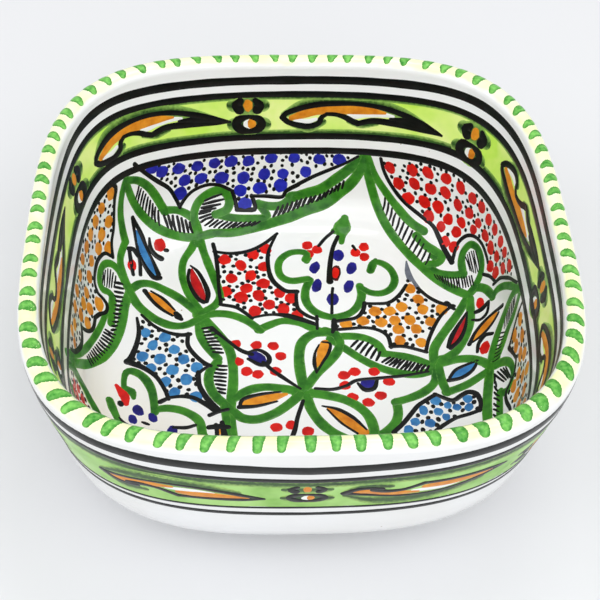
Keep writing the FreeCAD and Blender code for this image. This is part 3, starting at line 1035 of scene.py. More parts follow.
# %% Clovers
CLOVER = [
    line(GREEN, 3.8, "6.3,56.3 7.2,59.8 4,61.3 -1,60.5 -5.2,56.5 -6.4,51 -5,45.8 -0.5,43.2 7,44.3"),
    line(GREEN, 4, "7.7,43.5 5.6,37 5.8,30.5 9,25 14,22 19,21.3 25,23.5 29,28 31,34 30.5,39.8"),
    line(GREEN, 3.8, "31,38.5 35,35.7 40,35.2 44.6,38 46.8,43.5 45.5,49.5 42,53.5 38,54.3 36.3,50"),
    line(GREEN, "2 4.2 3.6", "38.8,56 37.2,52.5 36,49"),
    line(GREEN, "3.4 4.4 3", "7.6,60 7.2,57.5 6.8,55.2"),
    line(GREEN, "2.6 3.4 8.6 8 4", "23.6,67 24,70.4 24,74 25,77 25.8,79.8"),
    line(GREEN, "3 3.6", "24,74.5 20.5,73.5"),
    blob(RED, 4.6, 5, 0, "7.5,65.3 12,62.6 8,59.8"),
    blob(RED, 4.4, 5, 0, "34,64 29.8,60.6 33.8,57.8"),
    line(BLACK, 1.4, "28.8,64.8 30,62.3"),
    line(BLACK, 1.6, "12.8,65 16,69.5 20,73.3"),
    line(BLACK, "1.8 2 2.4 3.2", "22,70.3 19.5,64 18,56 17.3,50 17,42.5"),
    blob(NAVY, 5.4, 7.4, -6, "21.6,58.8"),
    blob(NAVY, 4.8, 7.8, -16, "10.5,51.3 27.5,50.7"),
    blob(NAVY, 4.7, 8, -14, "11,40.2 25.4,39.6"),
    blob(NAVY, 6, 7.4, 0, "17.8,31.7"),
    blob(BRICK, 5, 10.5, -6, "19.9,47.8"),
    blob(RED, 3.4, 7.5, -6, "19.9,47.8"),
    line(BLACK, 1.4, "18.1,38.5 17.6,34 17,23.5"),
]

LEFT_CLOVER = [
    line(GREEN, "2 3.8 3", "-68.8,-22.6 -69.6,-19.8 -72.8,-17.6"),
    line(GREEN, "2.4 2.8 4 4.2 4 3.6 3.6", "-73.2,-17.6 -73.4,-13 -72.6,-9.4 -70.2,-8.4 -66.8,-10 "
         "-63.8,-13.4 -61.6,-18 -60.4,-23.5 -59.6,-30"),
    line(GREEN, "3.6 4 4 4.2", "-59.4,-29 -57.6,-28.2 -53.4,-28 -48,-29.4 -43.2,-32.4 -40.6,-36 "
         "-39.4,-43"),
    line(GREEN, "4 4.4 3.6 3", "-78.8,-26 -77.4,-29.4 -75.8,-32.6 -74.2,-36"),
    line(RED, "1.8 3 4.4 3.8 2.4", "-76.4,-17.2 -74.4,-19.8 -72.6,-22.2 -71.8,-26"),
    blob(BLACK, 3, 3, 0, "-74,-26.4"),
    blob(NAVY, 4.4, 6.4, 30, "-66.6,-29"),
    blob(NAVY, 3.6, 5.2, 22, "-68.5,-33.8"),
    blob(NAVY, 3.8, 5.4, 28, "-60.4,-32.6"),
    blob(NAVY, 4.4, 5, 0, "-52,-39.2"),
    line(BLACK, "1.4 1.8 1.4", "-51.6,-37.8 -46.5,-38 -42.6,-36.8"),
    line(BLACK, "1 1.6 1", "-64.6,-35 -61.8,-36.2"),
    line(BLACK, "1 1.8 1.4", "-74,-34 -71.4,-36.8 -68,-38"),
    line(GREEN, "4.2 4.2 4", "-39.4,-42.4 -41,-46.4 -46,-48"),
    line(GREEN, "4 4 4.2 4.2 4 3.6 3", "-45.6,-47.6 -47.6,-52 -47,-56.6 -50,-60.8 -55.4,-62.6 "
         "-60.4,-60.4 -62,-56 -60,-53"),
    line(BLACK, "1.2 2 2.2 1.4", "-70.4,-40.6 -64,-44.4 -57,-46 -50.5,-46"),
    blob(BRICK, 10.5, 5, -12, "-60.5,-45"),
    blob(RED, 7.5, 3.4, -12, "-60.5,-45"),
    blob(NAVY, 7, 5, -20, "-70,-47.4 -63.5,-51.4"),
    blob(NAVY, 4.8, 6.4, 10, "-54,-51.6"),
    blob(RED, 4.6, 5, 0, "-66.4,-58.4 -70,-55.6 -71,-60.4"),
    line(BLACK, "2.2 2.6 2.2", "-37,-38 -33,-37.6 -29,-38"),
    blob(ORANGE, 3, 2.6, 0, "-32.4,-40.4"),
]

for turn in (0, -THIRD):
    paint(CLOVER, turn)
paint(LEFT_CLOVER)
print("three clovers")

# %% [markdown]
# ## Dotted panels
# The spaces beside the clovers are filled with dots of one colour among fine black specks, inside a
# black outline with pinched corners.  The dots are placed one by one, evenly but not in rows, and the
# specks are strewn at random where there is room.

# %% Panels
RED_PANEL = [
    panel(RED, 5.5, 6.2, "-35,60.5 -28,59.5 -20,61 -12,66 -9.5,66 -11.5,55 -10,45 -5,38 0.5,36 0.5,29 "
         "5,21.5 1,21 -5,23.6 -12,24 -18.7,23 -25,28.5 -31.5,30.5 -33.5,45",
          "-31,56.8 -23.5,53 -18,60 -12.3,63.5 -13,52 -28,45 -19,46.6 -13.4,41.8 -21,39 -30.5,37 "
               "-23.5,33.3 -15.5,34.4 -6,36 -1,32.5 -11,29 -4.6,26.4 -17.4,25.3 1.6,22.6"),
    line(BLACK, 1.8, "-36.4,66.2 -35.2,60 -34.2,50 -33.6,40 -32.6,29.5"),
    line(BLACK, "1.6 2.2 1.4", "-36,61.8 -28,60.6 -20,62 -13,66.3 -6.5,72.5"),
    line(BLACK, "1.2 1.8 2.2 2.4", "-6.8,72.3 -10.6,62 -11,52 -9.3,44 -5.5,38.8 -2.5,36.8 1.7,36.6"),
    line(BLACK, 1.8, "1.5,37 1.3,31 2.2,26 6,22.2 10.3,20"),
    line(BLACK, 1.8, "-32.8,29.3 -26,27.6 -22,24.5 -18.7,21"),
    line(BLACK, "1.2 1.6 3.4 2", "-18.7,21.3 -12,22.9 -5,22.8 2,20.5 9.8,17"),
]

ORANGE_PANEL = [
    panel(ORANGE, 5.2, 5.6, "53,44 50.5,37 45,29.5 38,28 33,27.5 29,20.5 19,18.5 19,15 31,16 37,15 "
         "42.5,10.5 43.5,5.3 56,3.2 58,8.5 62,18 68,26 62,29 55.5,38",
          "36.5,24.4 43,24.5 48.6,27 56.5,31.3 53.4,38 58,25.4 66.4,25 61,18 51.6,19.4 45,19 "
               "30.6,19 38.6,18 23,17.3 46,13.8 54,14 46.2,7.4 55.4,6.2"),
    line(GREY, "0.8 1.6 2.2", "53,54.5 52.6,48 53.6,43"),
    line(BLACK, 1.8, "51.8,40 48,34 43,29.6 37,29 32,29.2"),
    line(BLACK, 2, "32,29.5 31,25 28,21 22,19.4 17.4,18.8"),
    line(BLACK, "2.2 2.6 1.6", "17.8,19.5 17.6,15.5 16.8,12.5"),
    line(BLACK, 1.8, "17,13.8 24,14.5 31,15 37,13.6 41,10 42,3.6"),
    line(BLACK, 1.8, "41.7,4 48,4 57.3,0.8"),
    line(BLACK, 1.7, "57,1 59,8 63,17 67,23 71.5,26.8"),
    line(BLACK, 1.8, "72,26.3 66,29 61,33 57,38"),
    line(BLACK, "2.6 1.6", "69,28.5 72,24.6"),
    line(GREY, "2.2 1.6 0.8", "57,38 54.5,45 53,54"),
]

SKY_LEFT_PANEL = [
    panel(SKY, 5.2, 5.8, "-68.8,19 -66.5,20.5 -61,15.5 -55,12 -48,10.5 -47.5,5 -44.5,0 -38.5,-4.8 "
         "-42.8,-9.5 -42,-16 -39.5,-23 -44,-22 -50,-21 -54,-21.5 -57,-16 -60,-10.5 -65.5,-5 "
         "-70.5,-2.5 -68,7",
          "-65.4,13.2 -62,6.2 -57,10.6 -52.6,3.6 -66.2,0 -58.6,-1.6 -62.2,-6.4 -53,-7.6 -48.4,-1.8 "
               "-42.6,-6.4 -56,-14 -47,-12.8 -51.8,-19.8 -42.6,-22"),
    line(BLACK, "1.2 2 2.4 3", "-69.6,21.5 -68.4,14 -69,7 -71,-1 -72.6,-3.6"),
    line(BLACK, "1.2 1.8 2", "-67.6,23.4 -62,17.2 -56,13.4 -50,11.8 -46,12.2"),
    line(BLACK, 1.9, "-46.8,12.5 -46.8,6.2 -44,1 -40,-3.5 -36.8,-5.6"),
    line(BLACK, 1.7, "-37,-5.4 -40.6,-8.2 -42.6,-11"),
    line(BLACK, "2 2.4 2.8", "-42,-9 -41.4,-16 -38,-23 -33.4,-29.2"),
    line(BLACK, "3 1.9 1.7", "-72.6,-3.4 -66,-6 -60,-11 -56,-18 -54.2,-23.2"),
    line(BLACK, "1.6 2.4", "-54,-22.4 -57.6,-24.6"),
    line(BLACK, "1.6 2 2.2 1.8", "-54.2,-22.4 -48,-21.8 -43,-23 -38,-26.6 -34.5,-30"),
    line(BLACK, 1.9, "-36.8,-31.8 -33,-30 -29.3,-29"),
]

SKY_RIGHT_PANEL = [
    panel(SKY, 4.5, 4.8, "47,-38.5 49.5,-32 52.5,-28 56,-26 59,-24 62.5,-25.5 66.5,-27 70,-24.8 73,-23.6 "
         "75.4,-25 75.8,-31.5 72,-32.5 66,-34 60,-37.5 55,-42 46,-43.5 43,-41",
          "58.6,-25.6 53,-30.6 49,-36.5 63.5,-28.2 59.2,-31.4 67.2,-29.4 62.2,-34.2 72.2,-25.6 "
               "72.2,-30 55.2,-37.2 45.8,-40.6"),
    line(BLACK, 2, "39.5,-41.6 44,-37 48,-31.8 51,-28 55,-25 59,-22.4"),
    line(BLACK, "1.8 2.4 2", "58.6,-22.2 62,-24 66,-25.6 70,-23.2 73,-22 76.2,-24 77.4,-29 76.4,-33"),
    line(BLACK, 1.8, "76.6,-32.8 72,-33.6 66,-35 60,-38.8 54,-43.8 47,-46.5 39.5,-42"),
]

PANEL_STEM = [line(BLACK, 1.5, "10.2,21.8 10.1,14.6")]

for group in (RED_PANEL, PANEL_STEM, ORANGE_PANEL, SKY_LEFT_PANEL, SKY_RIGHT_PANEL):
    paint(group)
paint(RED_PANEL, THIRD + 3, {RED: ORANGE})
paint(ORANGE_PANEL, -THIRD, {ORANGE: RED})
print("dotted panels done")

# %% [markdown]
# ## Petal cells
# Where two sides of the frame meet, two loops open outwards like petals with a coloured core, and the
# cell beyond them holds a slim leaf, a bud and a drop, all caught in black hooks.

# %% Petal cells
LEFT_CELL = [
    line(GREEN, 4.6, "-90.5,90 -83,92 -75,90.5 -67.5,86.2 -60.5,80"),
    line(GREEN, 4, "-61,80.4 -55,81.5 -49.5,80.4 -45,77.4 -43,72.5"),
    line(GREEN, 4.6, "-90.5,89.5 -84,84 -76,78.3 -68,73.8 -60,70.7 -52,69.3 -45,69.4 -37,72"),
    hatch(9, 1.3, "-80.4,89.4 -73,85.6 -64,79.6",
          "-79,82.6 -71,77.8 -62,73"),
    hatch(7, 1.5, "-60.6,78 -54,78.6 -47.6,76.6",
          "-57.6,72.6 -51.6,71.4 -46,71.8"),
    line(GREEN, 4.4, "-91,89 -89.5,82 -86,74 -82,67.5 -78,61"),
    line(GREEN, 4, "-78,61 -79.3,52 -77,44 -73.3,36"),
    line(GREEN, "4.2 3.4 3.4 4", "-43.5,73 -46,64 -49.8,56 -50.3,47 -47.8,37 -42,26"),
    line(GREEN, 3.9, "-43,71 -40.6,61 -37.3,50 -34.3,40.5 -32.9,34 -35.5,28.5 -41,24.6"),
    line(CRIMSON, "1 3.6 4.4 4 2", "-46,50.8 -45,46 -43.5,41 -41.5,36 -40,32.3"),
    line(BLACK, "1.6 1.6 2 2.4", "-47.2,50.5 -47.6,45 -46,39 -43,33 -40.2,30.8"),
    line(BLACK, "1 1.8 2.4 2", "-46.6,53 -43.4,49.5 -40.4,43 -38.4,36 -39,31"),
    line(GREEN, 4.2, "-73.5,36.5 -69,41 -63.5,41.3 -57,37.6 -50.5,32.6 -43,25"),
    line(GREEN, 4.2, "-73.5,36 -70,29.5 -65,24 -60,20 -54,17.2 -48,17.4 -42,21"),
    line(GREEN, "4 7 4", "-44,29 -42,23.5 -40.5,18"),
    line(ORANGE, "1.6 4.4 4.6 2.6", "-65,36 -61,32.4 -57,28.6 -53.8,24.6"),
    line(BLACK, "2.2 1.8 1.8 1.2", "-66.8,37.4 -63,31.5 -58.5,26.5 -54,23"),
    line(BLACK, "1 1.6 1", "-64,37.4 -58.5,33 -53,26"),
    line(BLACK, "2.4 3.4 2", "-52.5,24.2 -51.4,22.4 -50,20.8"),
    line(SKY, "1.4 4.4 4.8 4 2", "-73.2,67.4 -70.5,62 -68,57 -65,51.5 -62.8,47.4"),
    line(BLACK, "2 1.6 1.4 2.2 3", "-77,73.3 -73.8,66.5 -70.8,58.5 -67,51 -63,45.5 -60.6,45.4"),
    line(BLACK, "2 2.4 1.4 2.4", "-76.4,72.8 -71,67.7 -67,61 -63.5,54 -61,47.3"),
    line(BLACK, 1.6, "-71.5,60.5 -69.6,53 -69,46"),
    line(BLACK, "1.2 2.2 3", "-66,65.8 -65,61 -62.5,57.8 -60,56.4"),
    blob(RED, 5, 6.4, -12, "-60.9,63.4"),
    blob(BLACK, 2.6, 2, 0, "-57.8,61.2"),
    line(BLACK, "2.2 2.4 1.4", "-75.5,58 -73,58.4 -70.8,55.4"),
    line(BLACK, "1.8 2 1.6", "-75.3,57.8 -74,53 -72.3,45.4"),
    blob(RED, 4.2, 6, 6, "-73.2,50.2"),
]

RIGHT_CELL = [
    line(GREEN, 4.4, "79,30.5 83.5,32.8 88.5,29.5 92.3,22.8"),
    line(GREEN, 4.2, "91.6,23 96,24.4 102,22.2 108.5,17 114.5,10.5 119,4.5"),
    line(GREEN, 4.2, "60,-3.5 61,3 66,11.5 72.5,20.5 79,30"),
    line(GREEN, 4.2, "63.5,-4 70.5,1 75.5,9 78.5,17 79.7,28"),
    line(GREEN, "3 6.5 3", "58.5,-7 62,-4.5 65.5,-2"),
    line(CRIMSON, "1.4 3.4 3.4 2.4", "77,19.4 74,13.5 71,8.5 68.2,4.4"),
    line(BLACK, "1.2 1.8 2.4 2", "77.4,21.4 72.6,14.8 69,8.5 67.2,3.4"),
    line(BLACK, "1.2 1.8 2.2 2.2", "77.6,21 76,14 72.6,7 68.2,2.8"),
    line(GREEN, 4.2, "63,-5.5 70,-3.8 76,-4.6 81,-8 84.5,-12.5"),
    line(GREEN, 4, "61.8,-7 62.3,-14.5 64,-21.5"),
    line(GREEN, 4.2, "63.6,-21.3 72,-18.3 79.5,-15 86,-13"),
    line(SKY, "2.4 4 4 1.8", "67.5,-13 71.5,-11 75,-9.3 77.6,-7.9"),
    line(BLACK, "1.6 1.6 1.4", "66,-13.4 69,-9.4 74,-7.3 79,-6.3"),
    line(BLACK, "2 1.8 1.4", "65.4,-14.9 71,-13.9 76,-10.9 79,-6.6"),
    line(GREEN, 4.6, "84.5,-12 88,-2.5 94,5 101,9.3 108,10.3 115,8 119.5,4"),
    line(GREEN, 4.4, "85,-12.5 92.5,-6 100,-1.3 108,-0.2 114.5,1.5 119.5,4"),
    line(GREEN, "3 7 3", "82,-14 85.5,-12 89,-10.5"),
    hatch(8, 0.8, "85.5,-10.5 88.5,-4.5 92.5,1",
          "90,-10.6 92.5,-5.4 96.5,-1.5"),
    hatch(10, 0.8, "98.5,6 105,7.6 113,6.6",
          "96,1 102.5,1.4 110,3"),
    blob(RED, 4.2, 5.8, 0, "84.3,23.7"),
    line(BLACK, "2 2.6 2.2", "80.4,20 84,20.2 88.6,22"),
    line(BLACK, "1.4 1.8 1.6", "79.4,16.4 83,15 87,17 88.8,21.5"),
    line(ORANGE, "2 4.6 4.2 1.8", "78.6,5.6 82,8.7 87,11.5 92.4,12.6"),
    line(BLACK, "2 1.8 1.8 2.2", "76.4,3.4 80,9.2 85,13.1 91,14.4 98,13.5"),
    line(BLACK, "1 1.6 1.4", "78,4.2 83,6.5 88.5,9.3 94,12.2"),
    line(BLACK, "1.4 2.2 1.6", "79.4,-1.8 80.6,2.5 84.2,5.5 88.2,4"),
    blob(RED, 4.6, 6.4, -12, "83.1,-1"),
]

paint(LEFT_CELL)
paint(LEFT_CELL, THIRD)
paint(RIGHT_CELL)
print("petal cells done")

# %% [markdown]
# ## Swags
# Long double leaves hang between the cells and tie the garden together.  Each is two green edges, with
# a curl where it meets a cell, and black hatching between.  A small red dotted panel closes the last
# gap at the near left.

# %% Swags
TOP_SWAG = [
    line(GREEN, "4.4 5.2 5.6 5", "-40,71 -36,72.2 -28,72.8 -20,74.7 -10,77.8 0,81.2 8,84.5 16,87.2 "
         "23,91.3 30,96 36,102 41.5,110"),
    line(GREEN, 4.4, "-43.4,66 -44.5,74 -46,80 -45,86.2 -41,91 -36,93.2 -31.6,91.7 -29.6,87.5 "
         "-31,83.6 -35.5,81.5"),
    line(GREEN, 4, "-36,81.7 -28,80.4 -20,80.2 -11.5,80.8 -12.6,84 -15.5,87.4"),
    line(GREEN, "4 4.6 5.4 5", "-15.8,87.3 -10,86.2 -4,86.8 1,90.2 8,92.4 15,94.3 22,98.5 29,103 "
         "36,107.6 42.5,111"),
    line(GREEN, 3, "-1.4,88.4 -0.4,91.6 5,92"),
    hatch(4, 1.5, "-41.8,87.6 -42.6,84.5 -43,82.3",
          "-34.2,91.3 -32.6,88.4 -36,84.4"),
    line(BLACK, 1.2, "-43.4,81.2 -40.8,82 -38.4,83"),
    line(BLACK, 1.2, "-43,79.2 -40.6,80.4 -38.2,81.4"),
    line(BLACK, 1.2, "-42.2,77.4 -40.2,79 -37.6,80"),
    hatch(11, 1.2, "-36.6,79.2 -28,78.2 -14.5,78.8",
          "-40.4,75.8 -31.5,75 -18.6,76.4"),
    hatch(16, 1.5, "-5.8,85.8 6,89.6 16,92 27.4,98",
          "-8.2,81.2 4,85.2 14.5,89 26,94.4"),
]

RIGHT_SWAG = [
    line(GREEN, "5 4.2 4.4", "42,110.5 41,102 41,92 42.3,83 45.5,74 50,65.5 55,57.5 60.5,49.5 "
         "66,42.5 72,36.5 79,30.5"),
    line(GREEN, 4.4, "43.5,110 44.2,100.5 47.5,91 51.7,82.5 56.5,75 62.4,69.2"),
    line(GREEN, 4.2, "58.5,67.8 62.5,62 66.5,58 69.2,54.5 67,51.8 62,51.8"),
    line(GREEN, "3 5 3", "65,56 67.3,54 65,52.3"),
    line(GREEN, 4, "62,52 66,46.8 72,44 78.3,42.6"),
    line(GREEN, 4, "78.2,42 78.2,49.5 80.5,54.2 85,55.7 88.6,52 89.5,45.5 87.5,39.5 83.5,34.5 79,30.5"),
    hatch(13, 1.15, "46.5,88 50.5,79.5 55.5,72.5 60,66 64,57.5",
          "44.5,82.5 48,74.5 52.5,65.5 57,58 61.5,51.8"),
    hatch(15, 0.85, "65,45.6 72,42.6 82,40.2",
          "66.4,42.4 73,36.6 82.4,34.6"),
    hatch(6, 0.8, "80.6,50.8 83.6,52.4 87,51.4",
          "81.8,43 84.4,40.6 87,41"),
]

LEFT_SWAG = [
    line(GREEN, 4.4, "-73.5,35 -75.4,27 -76,18 -77.5,10 -80,2 -84,-5 -90,-12 -97,-18.5 -104,-25 "
         "-111,-31 -118,-36"),
    line(GREEN, 4, "-74,37 -77.4,43 -80,46 -84,47.2 -88.2,45 -90.2,40 -89.6,35 -87,32 -83.5,32 "
         "-81.3,29.5 -81.2,22 -81,15.5"),
    line(GREEN, "3 4 4.4", "-84,20 -86,12 -89,4 -93,-4.5 -98,-12.5 -104.5,-20 -111,-28 -117,-35"),
    hatch(6, 0.9, "-88,41 -84.5,44.3 -80.6,42",
          "-87.6,34.6 -84.2,34.4 -81,35.8"),
    hatch(12, 1.6, "-80.8,38.5 -79.8,26 -80.4,12",
          "-76.6,39 -76.8,26 -78.6,13"),
    hatch(13, 1.5, "-83.4,11 -86,3 -92.6,-10.5",
          "-78.8,10 -81.5,1 -89.5,-12.8"),
]

LOW_RIGHT_SWAG = [
    line(GREEN, 4.6, "84,-13 81.8,-22 79.8,-32 78.6,-44 77.6,-57 77,-70 78,-84 82,-103"),
    line(GREEN, 4.2, "86,-13 91,-14.4 95.4,-18.5 97.2,-24 95.2,-29 90.5,-31 86.5,-29"),
    line(GREEN, 4, "86.8,-28.5 85.6,-36 84.4,-45 84.4,-54"),
    line(GREEN, 4.2, "88,-55 89,-66 88.5,-78 86.5,-90 82.5,-103"),
    hatch(5, 1.1, "85.5,-17.4 89,-17.2 92.5,-18.6",
          "90,-25 93.6,-26 95,-27.6"),
    hatch(12, 1.1, "85.5,-18 84,-27 82,-38 81,-50",
          "84.8,-22 86.2,-30 84.4,-41 83.6,-53"),
    hatch(14, 1.1, "81,-57 81,-72 82.5,-88",
          "86.5,-59 86,-74 84.5,-89"),
]

NEAR_LEFT_SWAG = [
    line(GREEN, "3.6 4.6 4.8 4.8 4.4", "-113,-38 -107,-32 -100.5,-28.6 -94,-28.4 -88.6,-31.6 -84,-36 "
         "-80,-43"),
    line(SHADE, "1.6 2 2", "-106,-33.6 -100,-30.6 -94,-30.4 -89,-33.6"),
    panel(RED, 4.6, 5.4, "-109,-38 -104,-34 -98,-32 -93,-33 -89,-36.5 -87,-42 -92,-48 -98,-52 "
          "-104,-50 -109,-44",
          "-103.4,-38 -98.6,-35.4 -94,-36.6 -90.4,-39.4 -99.4,-41 -94.6,-42 -104,-43.6 -99.6,-46.6 "
               "-94.4,-47"),
]

for group in (TOP_SWAG, RIGHT_SWAG, LEFT_SWAG, LOW_RIGHT_SWAG):
    paint(group)
paint(TOP_SWAG, THIRD)
paint(RIGHT_SWAG, -THIRD)
paint(NEAR_LEFT_SWAG)
print("swags done")

# %% [markdown]
# ## Border panels
# Between the swags and the first black line, the wall of the bowl is filled with larger dots: blue at
# the back, red to the right, orange at the left.  The front ones are turned copies in other colours.

# %% Border panels
BLUE_BORDER = [
    panel(BLUE, 6.8, 6.4, "-83,100.5 -71,96 -61,92.5 -54,86.5 -50,92.5 -44,97 -36,98 -29,95 -25,87 "
         "-19,87 -20,92.5 -12,93 -3.5,93 4,99 20,106 33,111 16,114.5 0,115.5 -20,114 -36,112 "
         "-52,108.5 -66,105",
          "-61,102.6 -51,105 -42,107.6 -33,109.2 -23.5,109.8 -11,111.4 2,111.6 16,110.6 27,110 "
               "-70,99.6 -55.2,96.6 -46.6,98.6 -36,99.8 -24.6,100.4 -14,102.4 -4,102.6 8,103.6 "
               "-25,93.6 -15.4,95.2 -5,96.4 -55.2,89.8 -22,87.2 -77,100"),
    line(BLACK, "2.6 2.2 1.8", "-89,99.5 -80,96.9 -70,94 -62,91.4 -56.5,86.8 -53.4,83"),
    line(BLACK, 1.8, "-53.6,83.4 -51.4,88.5 -48,92.6 -42,95.6 -36,95.7 -30,93.6"),
    line(BLACK, 2, "-29,93 -27,88.6 -25.6,84.2"),
    line(BLACK, "2 2.4 1.8", "-25.8,84.2 -21,84.4 -17,84.8 -17.6,88 -19.2,91.2"),
    line(BLACK, "1.6 1.8 2.2", "-19.4,91 -12,91 -4.2,90.6 -2,93.6 4,96.8"),
    line(BLACK, "2 1.8 1.4", "4,97 12,101 22,105 31,108.4 38,111.4"),
]

RED_BORDER = [
    panel(RED, 5.9, 6.5, "51.5,107 51.5,99 54,92 58,84.5 64,77 69,71 71,65 74,56 78,60.5 84,62 90,59.5 "
         "94,53 94.5,43 91,38.5 95.5,33.5 100,30.5 106,27 112,21.5 116,18 113.5,40 109.5,56 103,74 "
         "95,88 84,97.5 70,104",
          "53.8,103.6 55.6,94.6 58,86.2 66,100.4 64,93 66,83 66,75.6 74.4,97.4 72,88.8 72.6,79 "
               "71.2,69.4 80,85 84,92 76,71.8 84.6,77 91,85 96.6,77 83,68 90.2,70.6 78.6,64.4 "
               "71.5,61.6 75.7,57.8 89.2,62 94.2,63.6 101.4,70 103.6,61.6 96.6,55.6 106.6,54 "
               "98.2,47.6 109,45 101.6,40.6 94.4,39.2 110.4,37.4 97.6,33.6 105.2,31 112.4,27"),
    line(BLACK, "1.8 2 1.9 2.6", "50.4,109 50,101 51.8,92.5 55.8,84.5 62,77 67,71 69,65 71,57.4 "
         "73.6,50.4"),
    line(BLACK, 1.8, "73.8,51 76,56 79,59.6 84,60.7 89,58.2 92.4,52.5 93.4,45 93.2,42"),
    line(BLACK, 1.8, "88.6,37.8 92.6,34.4 95.6,29.6"),
    line(BLACK, 1.9, "94,29 100,28.5 106,24.4 111,19.6 117,11"),
]

LEFT_BORDER = [
    panel(ORANGE, 6.0, 6.6, "-101,84 -96,83.5 -93,76.5 -89,67 -87,59 -86,53 -90.5,52 -95.5,46 -96,38 "
         "-94.5,31 -91,27.5 -86,25.5 -85.5,21.5 -91.5,15 -92.5,8 -98,3.5 -101.5,0 -101,-8 "
         "-103.5,-16 -110,-22.5 -114.5,-20 -115.5,0 -114,20 -112,45 -108.5,62 -104,76",
          "-98.4,80 -102,70.4 -92.4,66.6 -104,61.6 -95,58.2 -105.6,53 -94.8,50.6 -87.6,54 "
               "-107.4,44.6 -98.8,41.4 -109.6,35.4 -98.4,32.4 -109.6,25 -99,22.4 -88.4,22.8 "
               "-111.4,13.4 -101,14.6 -94.4,16.2 -111.6,2.6 -102.6,6 -95,7.2 -109.6,-7 -107,-16 "
               "-112.4,-14"),
    line(BLACK, "3 2 1.8 2", "-100.6,85.4 -96,84.2 -93.8,78.5 -89.8,71 -87,64.5 -86,57.5 -83.6,51"),
    line(BLACK, "1.6 2.6 1.8", "-84,51 -89,50.6 -93,45.5 -94,39 -93,32.5 -89.8,28.4"),
    line(BLACK, "1.8 2 2.2", "-90,28.4 -86,27 -83.6,24.6 -84,20.6 -87.4,17.6 -90,14"),
    line(BLACK, 2, "-89.8,14.5 -90.4,8 -93.2,4 -98,1.4 -101,1"),
    line(BLACK, "2 3 2.6 1.8", "-101,1.4 -98.8,-3 -98.6,-8.5 -101.5,-14.5 -106,-20.5 -112,-26"),
]

LOW_RIGHT_BORDER = [
    panel(ORANGE, 6.0, 6.6, "115,-5.5 108,-7 101,-9.5 98.5,-12.5 101,-18 103,-23 99,-29 92,-32.5 91.5,-38 "
         "93,-46 93,-57 95,-70 94,-82 90,-93 96,-87 103,-76 109,-60 113.5,-42 115.5,-22",
          "113,-10 104,-10.6 103.6,-17 112,-20 106.6,-25.6 96,-34 101.6,-32.6 111,-31 97.6,-41.6 "
               "105.6,-39.6 111.4,-42.4 98.4,-50.4 106,-50.6 98.4,-60.6 105,-61.6 99.4,-71.6 "
               "96.6,-81.4"),
    line(BLACK, 1.8, "118,-4.4 110,-5.4 103,-7.4 97,-11.4"),
    line(BLACK, "2.4 2 1.8", "97,-11.4 99.6,-17 101.6,-22.6"),
    line(BLACK, 2, "102,-22 98,-27.4 90.6,-31 89.6,-36.4 91.4,-44 91.4,-56 93.4,-70 92,-83 87,-98"),
]

for group in (BLUE_BORDER, RED_BORDER, LEFT_BORDER, LOW_RIGHT_BORDER):
    paint(group)
paint(BLUE_BORDER, THIRD, {BLUE: RED})
paint(RED_BORDER, -THIRD, {RED: BLUE})
print("border panels done")


# %% [markdown]
# ## Lines and washes round the bowl
# Four black lines run right round the inside and four round the outside, with a lime wash between
# the middle two.  Each is a strip whose level wanders, as a line does when it is drawn freehand on a
# bowl that is turned under the brush.  The wash is wet when the lines are laid, so a dark green shade
# bleeds into it from the line above.  A line is five points across, and the wash needs more, because
# the wall curves under it.

# %% Rings
RING_STEPS = 480
RING_WAVES, RING_WOBBLE = (2, 3, 5, 7, 11, 17), 0.35    # waves round the bowl, and millimetres
RING_SWELLS, RING_SWELL = (9, 14, 23, 37), 0.08         # the same for the width, and a share of it
PHASES = 0, 6.28        # anywhere in a turn, in radians
RING_TONE = 0.35
CORNER_BREADTH = 0.7    # how broadly a line rises round a corner; less is broader
ROUNDED_OFF = -6, -3, 0, 3, 6           # degrees over which a listed rise is averaged
WASH_ACROSS = np.linspace(-1, 1, 15)
# How far the inside lines rise above their level, in millimetres at degrees round the bowl.
UPPER_RISE = ((0, 1.4), (22, 1.5), (43, 1.5), (62, -0.8), (90, -0.2), (120, -1.3), (140, 1.7),
              (160, -1.9), (182, 0.8), (222, 1.5), (250, -0.8), (270, 0), (290, -0.8), (318, 1.4))
LOWER_RISE = ((0, 4.8), (18, 3.2), (33, 2.6), (43, 3.2), (62, 0.3), (90, 0), (120, -0.8), (142, 3.8),
              (152, 2.0), (165, 0.9), (182, 2.5), (200, 0.6), (225, 3.2), (250, 0), (270, 0),
              (290, 0.2), (318, 3), (340, 3.2))


def uneven(angle, rises):
    """Rise at each angle, from pairs of degrees and rise, rounded off between them."""
    marks, heights = (np.array(column, float) for column in zip(*rises))
    degrees = np.degrees(angle)
    near = [np.interp(degrees + shift, marks, heights, period=360) for shift in ROUNDED_OFF]
    return np.mean(near, axis=0)


def risen(angle, rise):
    """Rise at each angle, from one number for the four corners or from a list of rises."""
    if isinstance(rise, tuple):
        return uneven(angle, rise)
    return rise * ((1 - np.cos(4 * angle)) / 2) ** CORNER_BREADTH


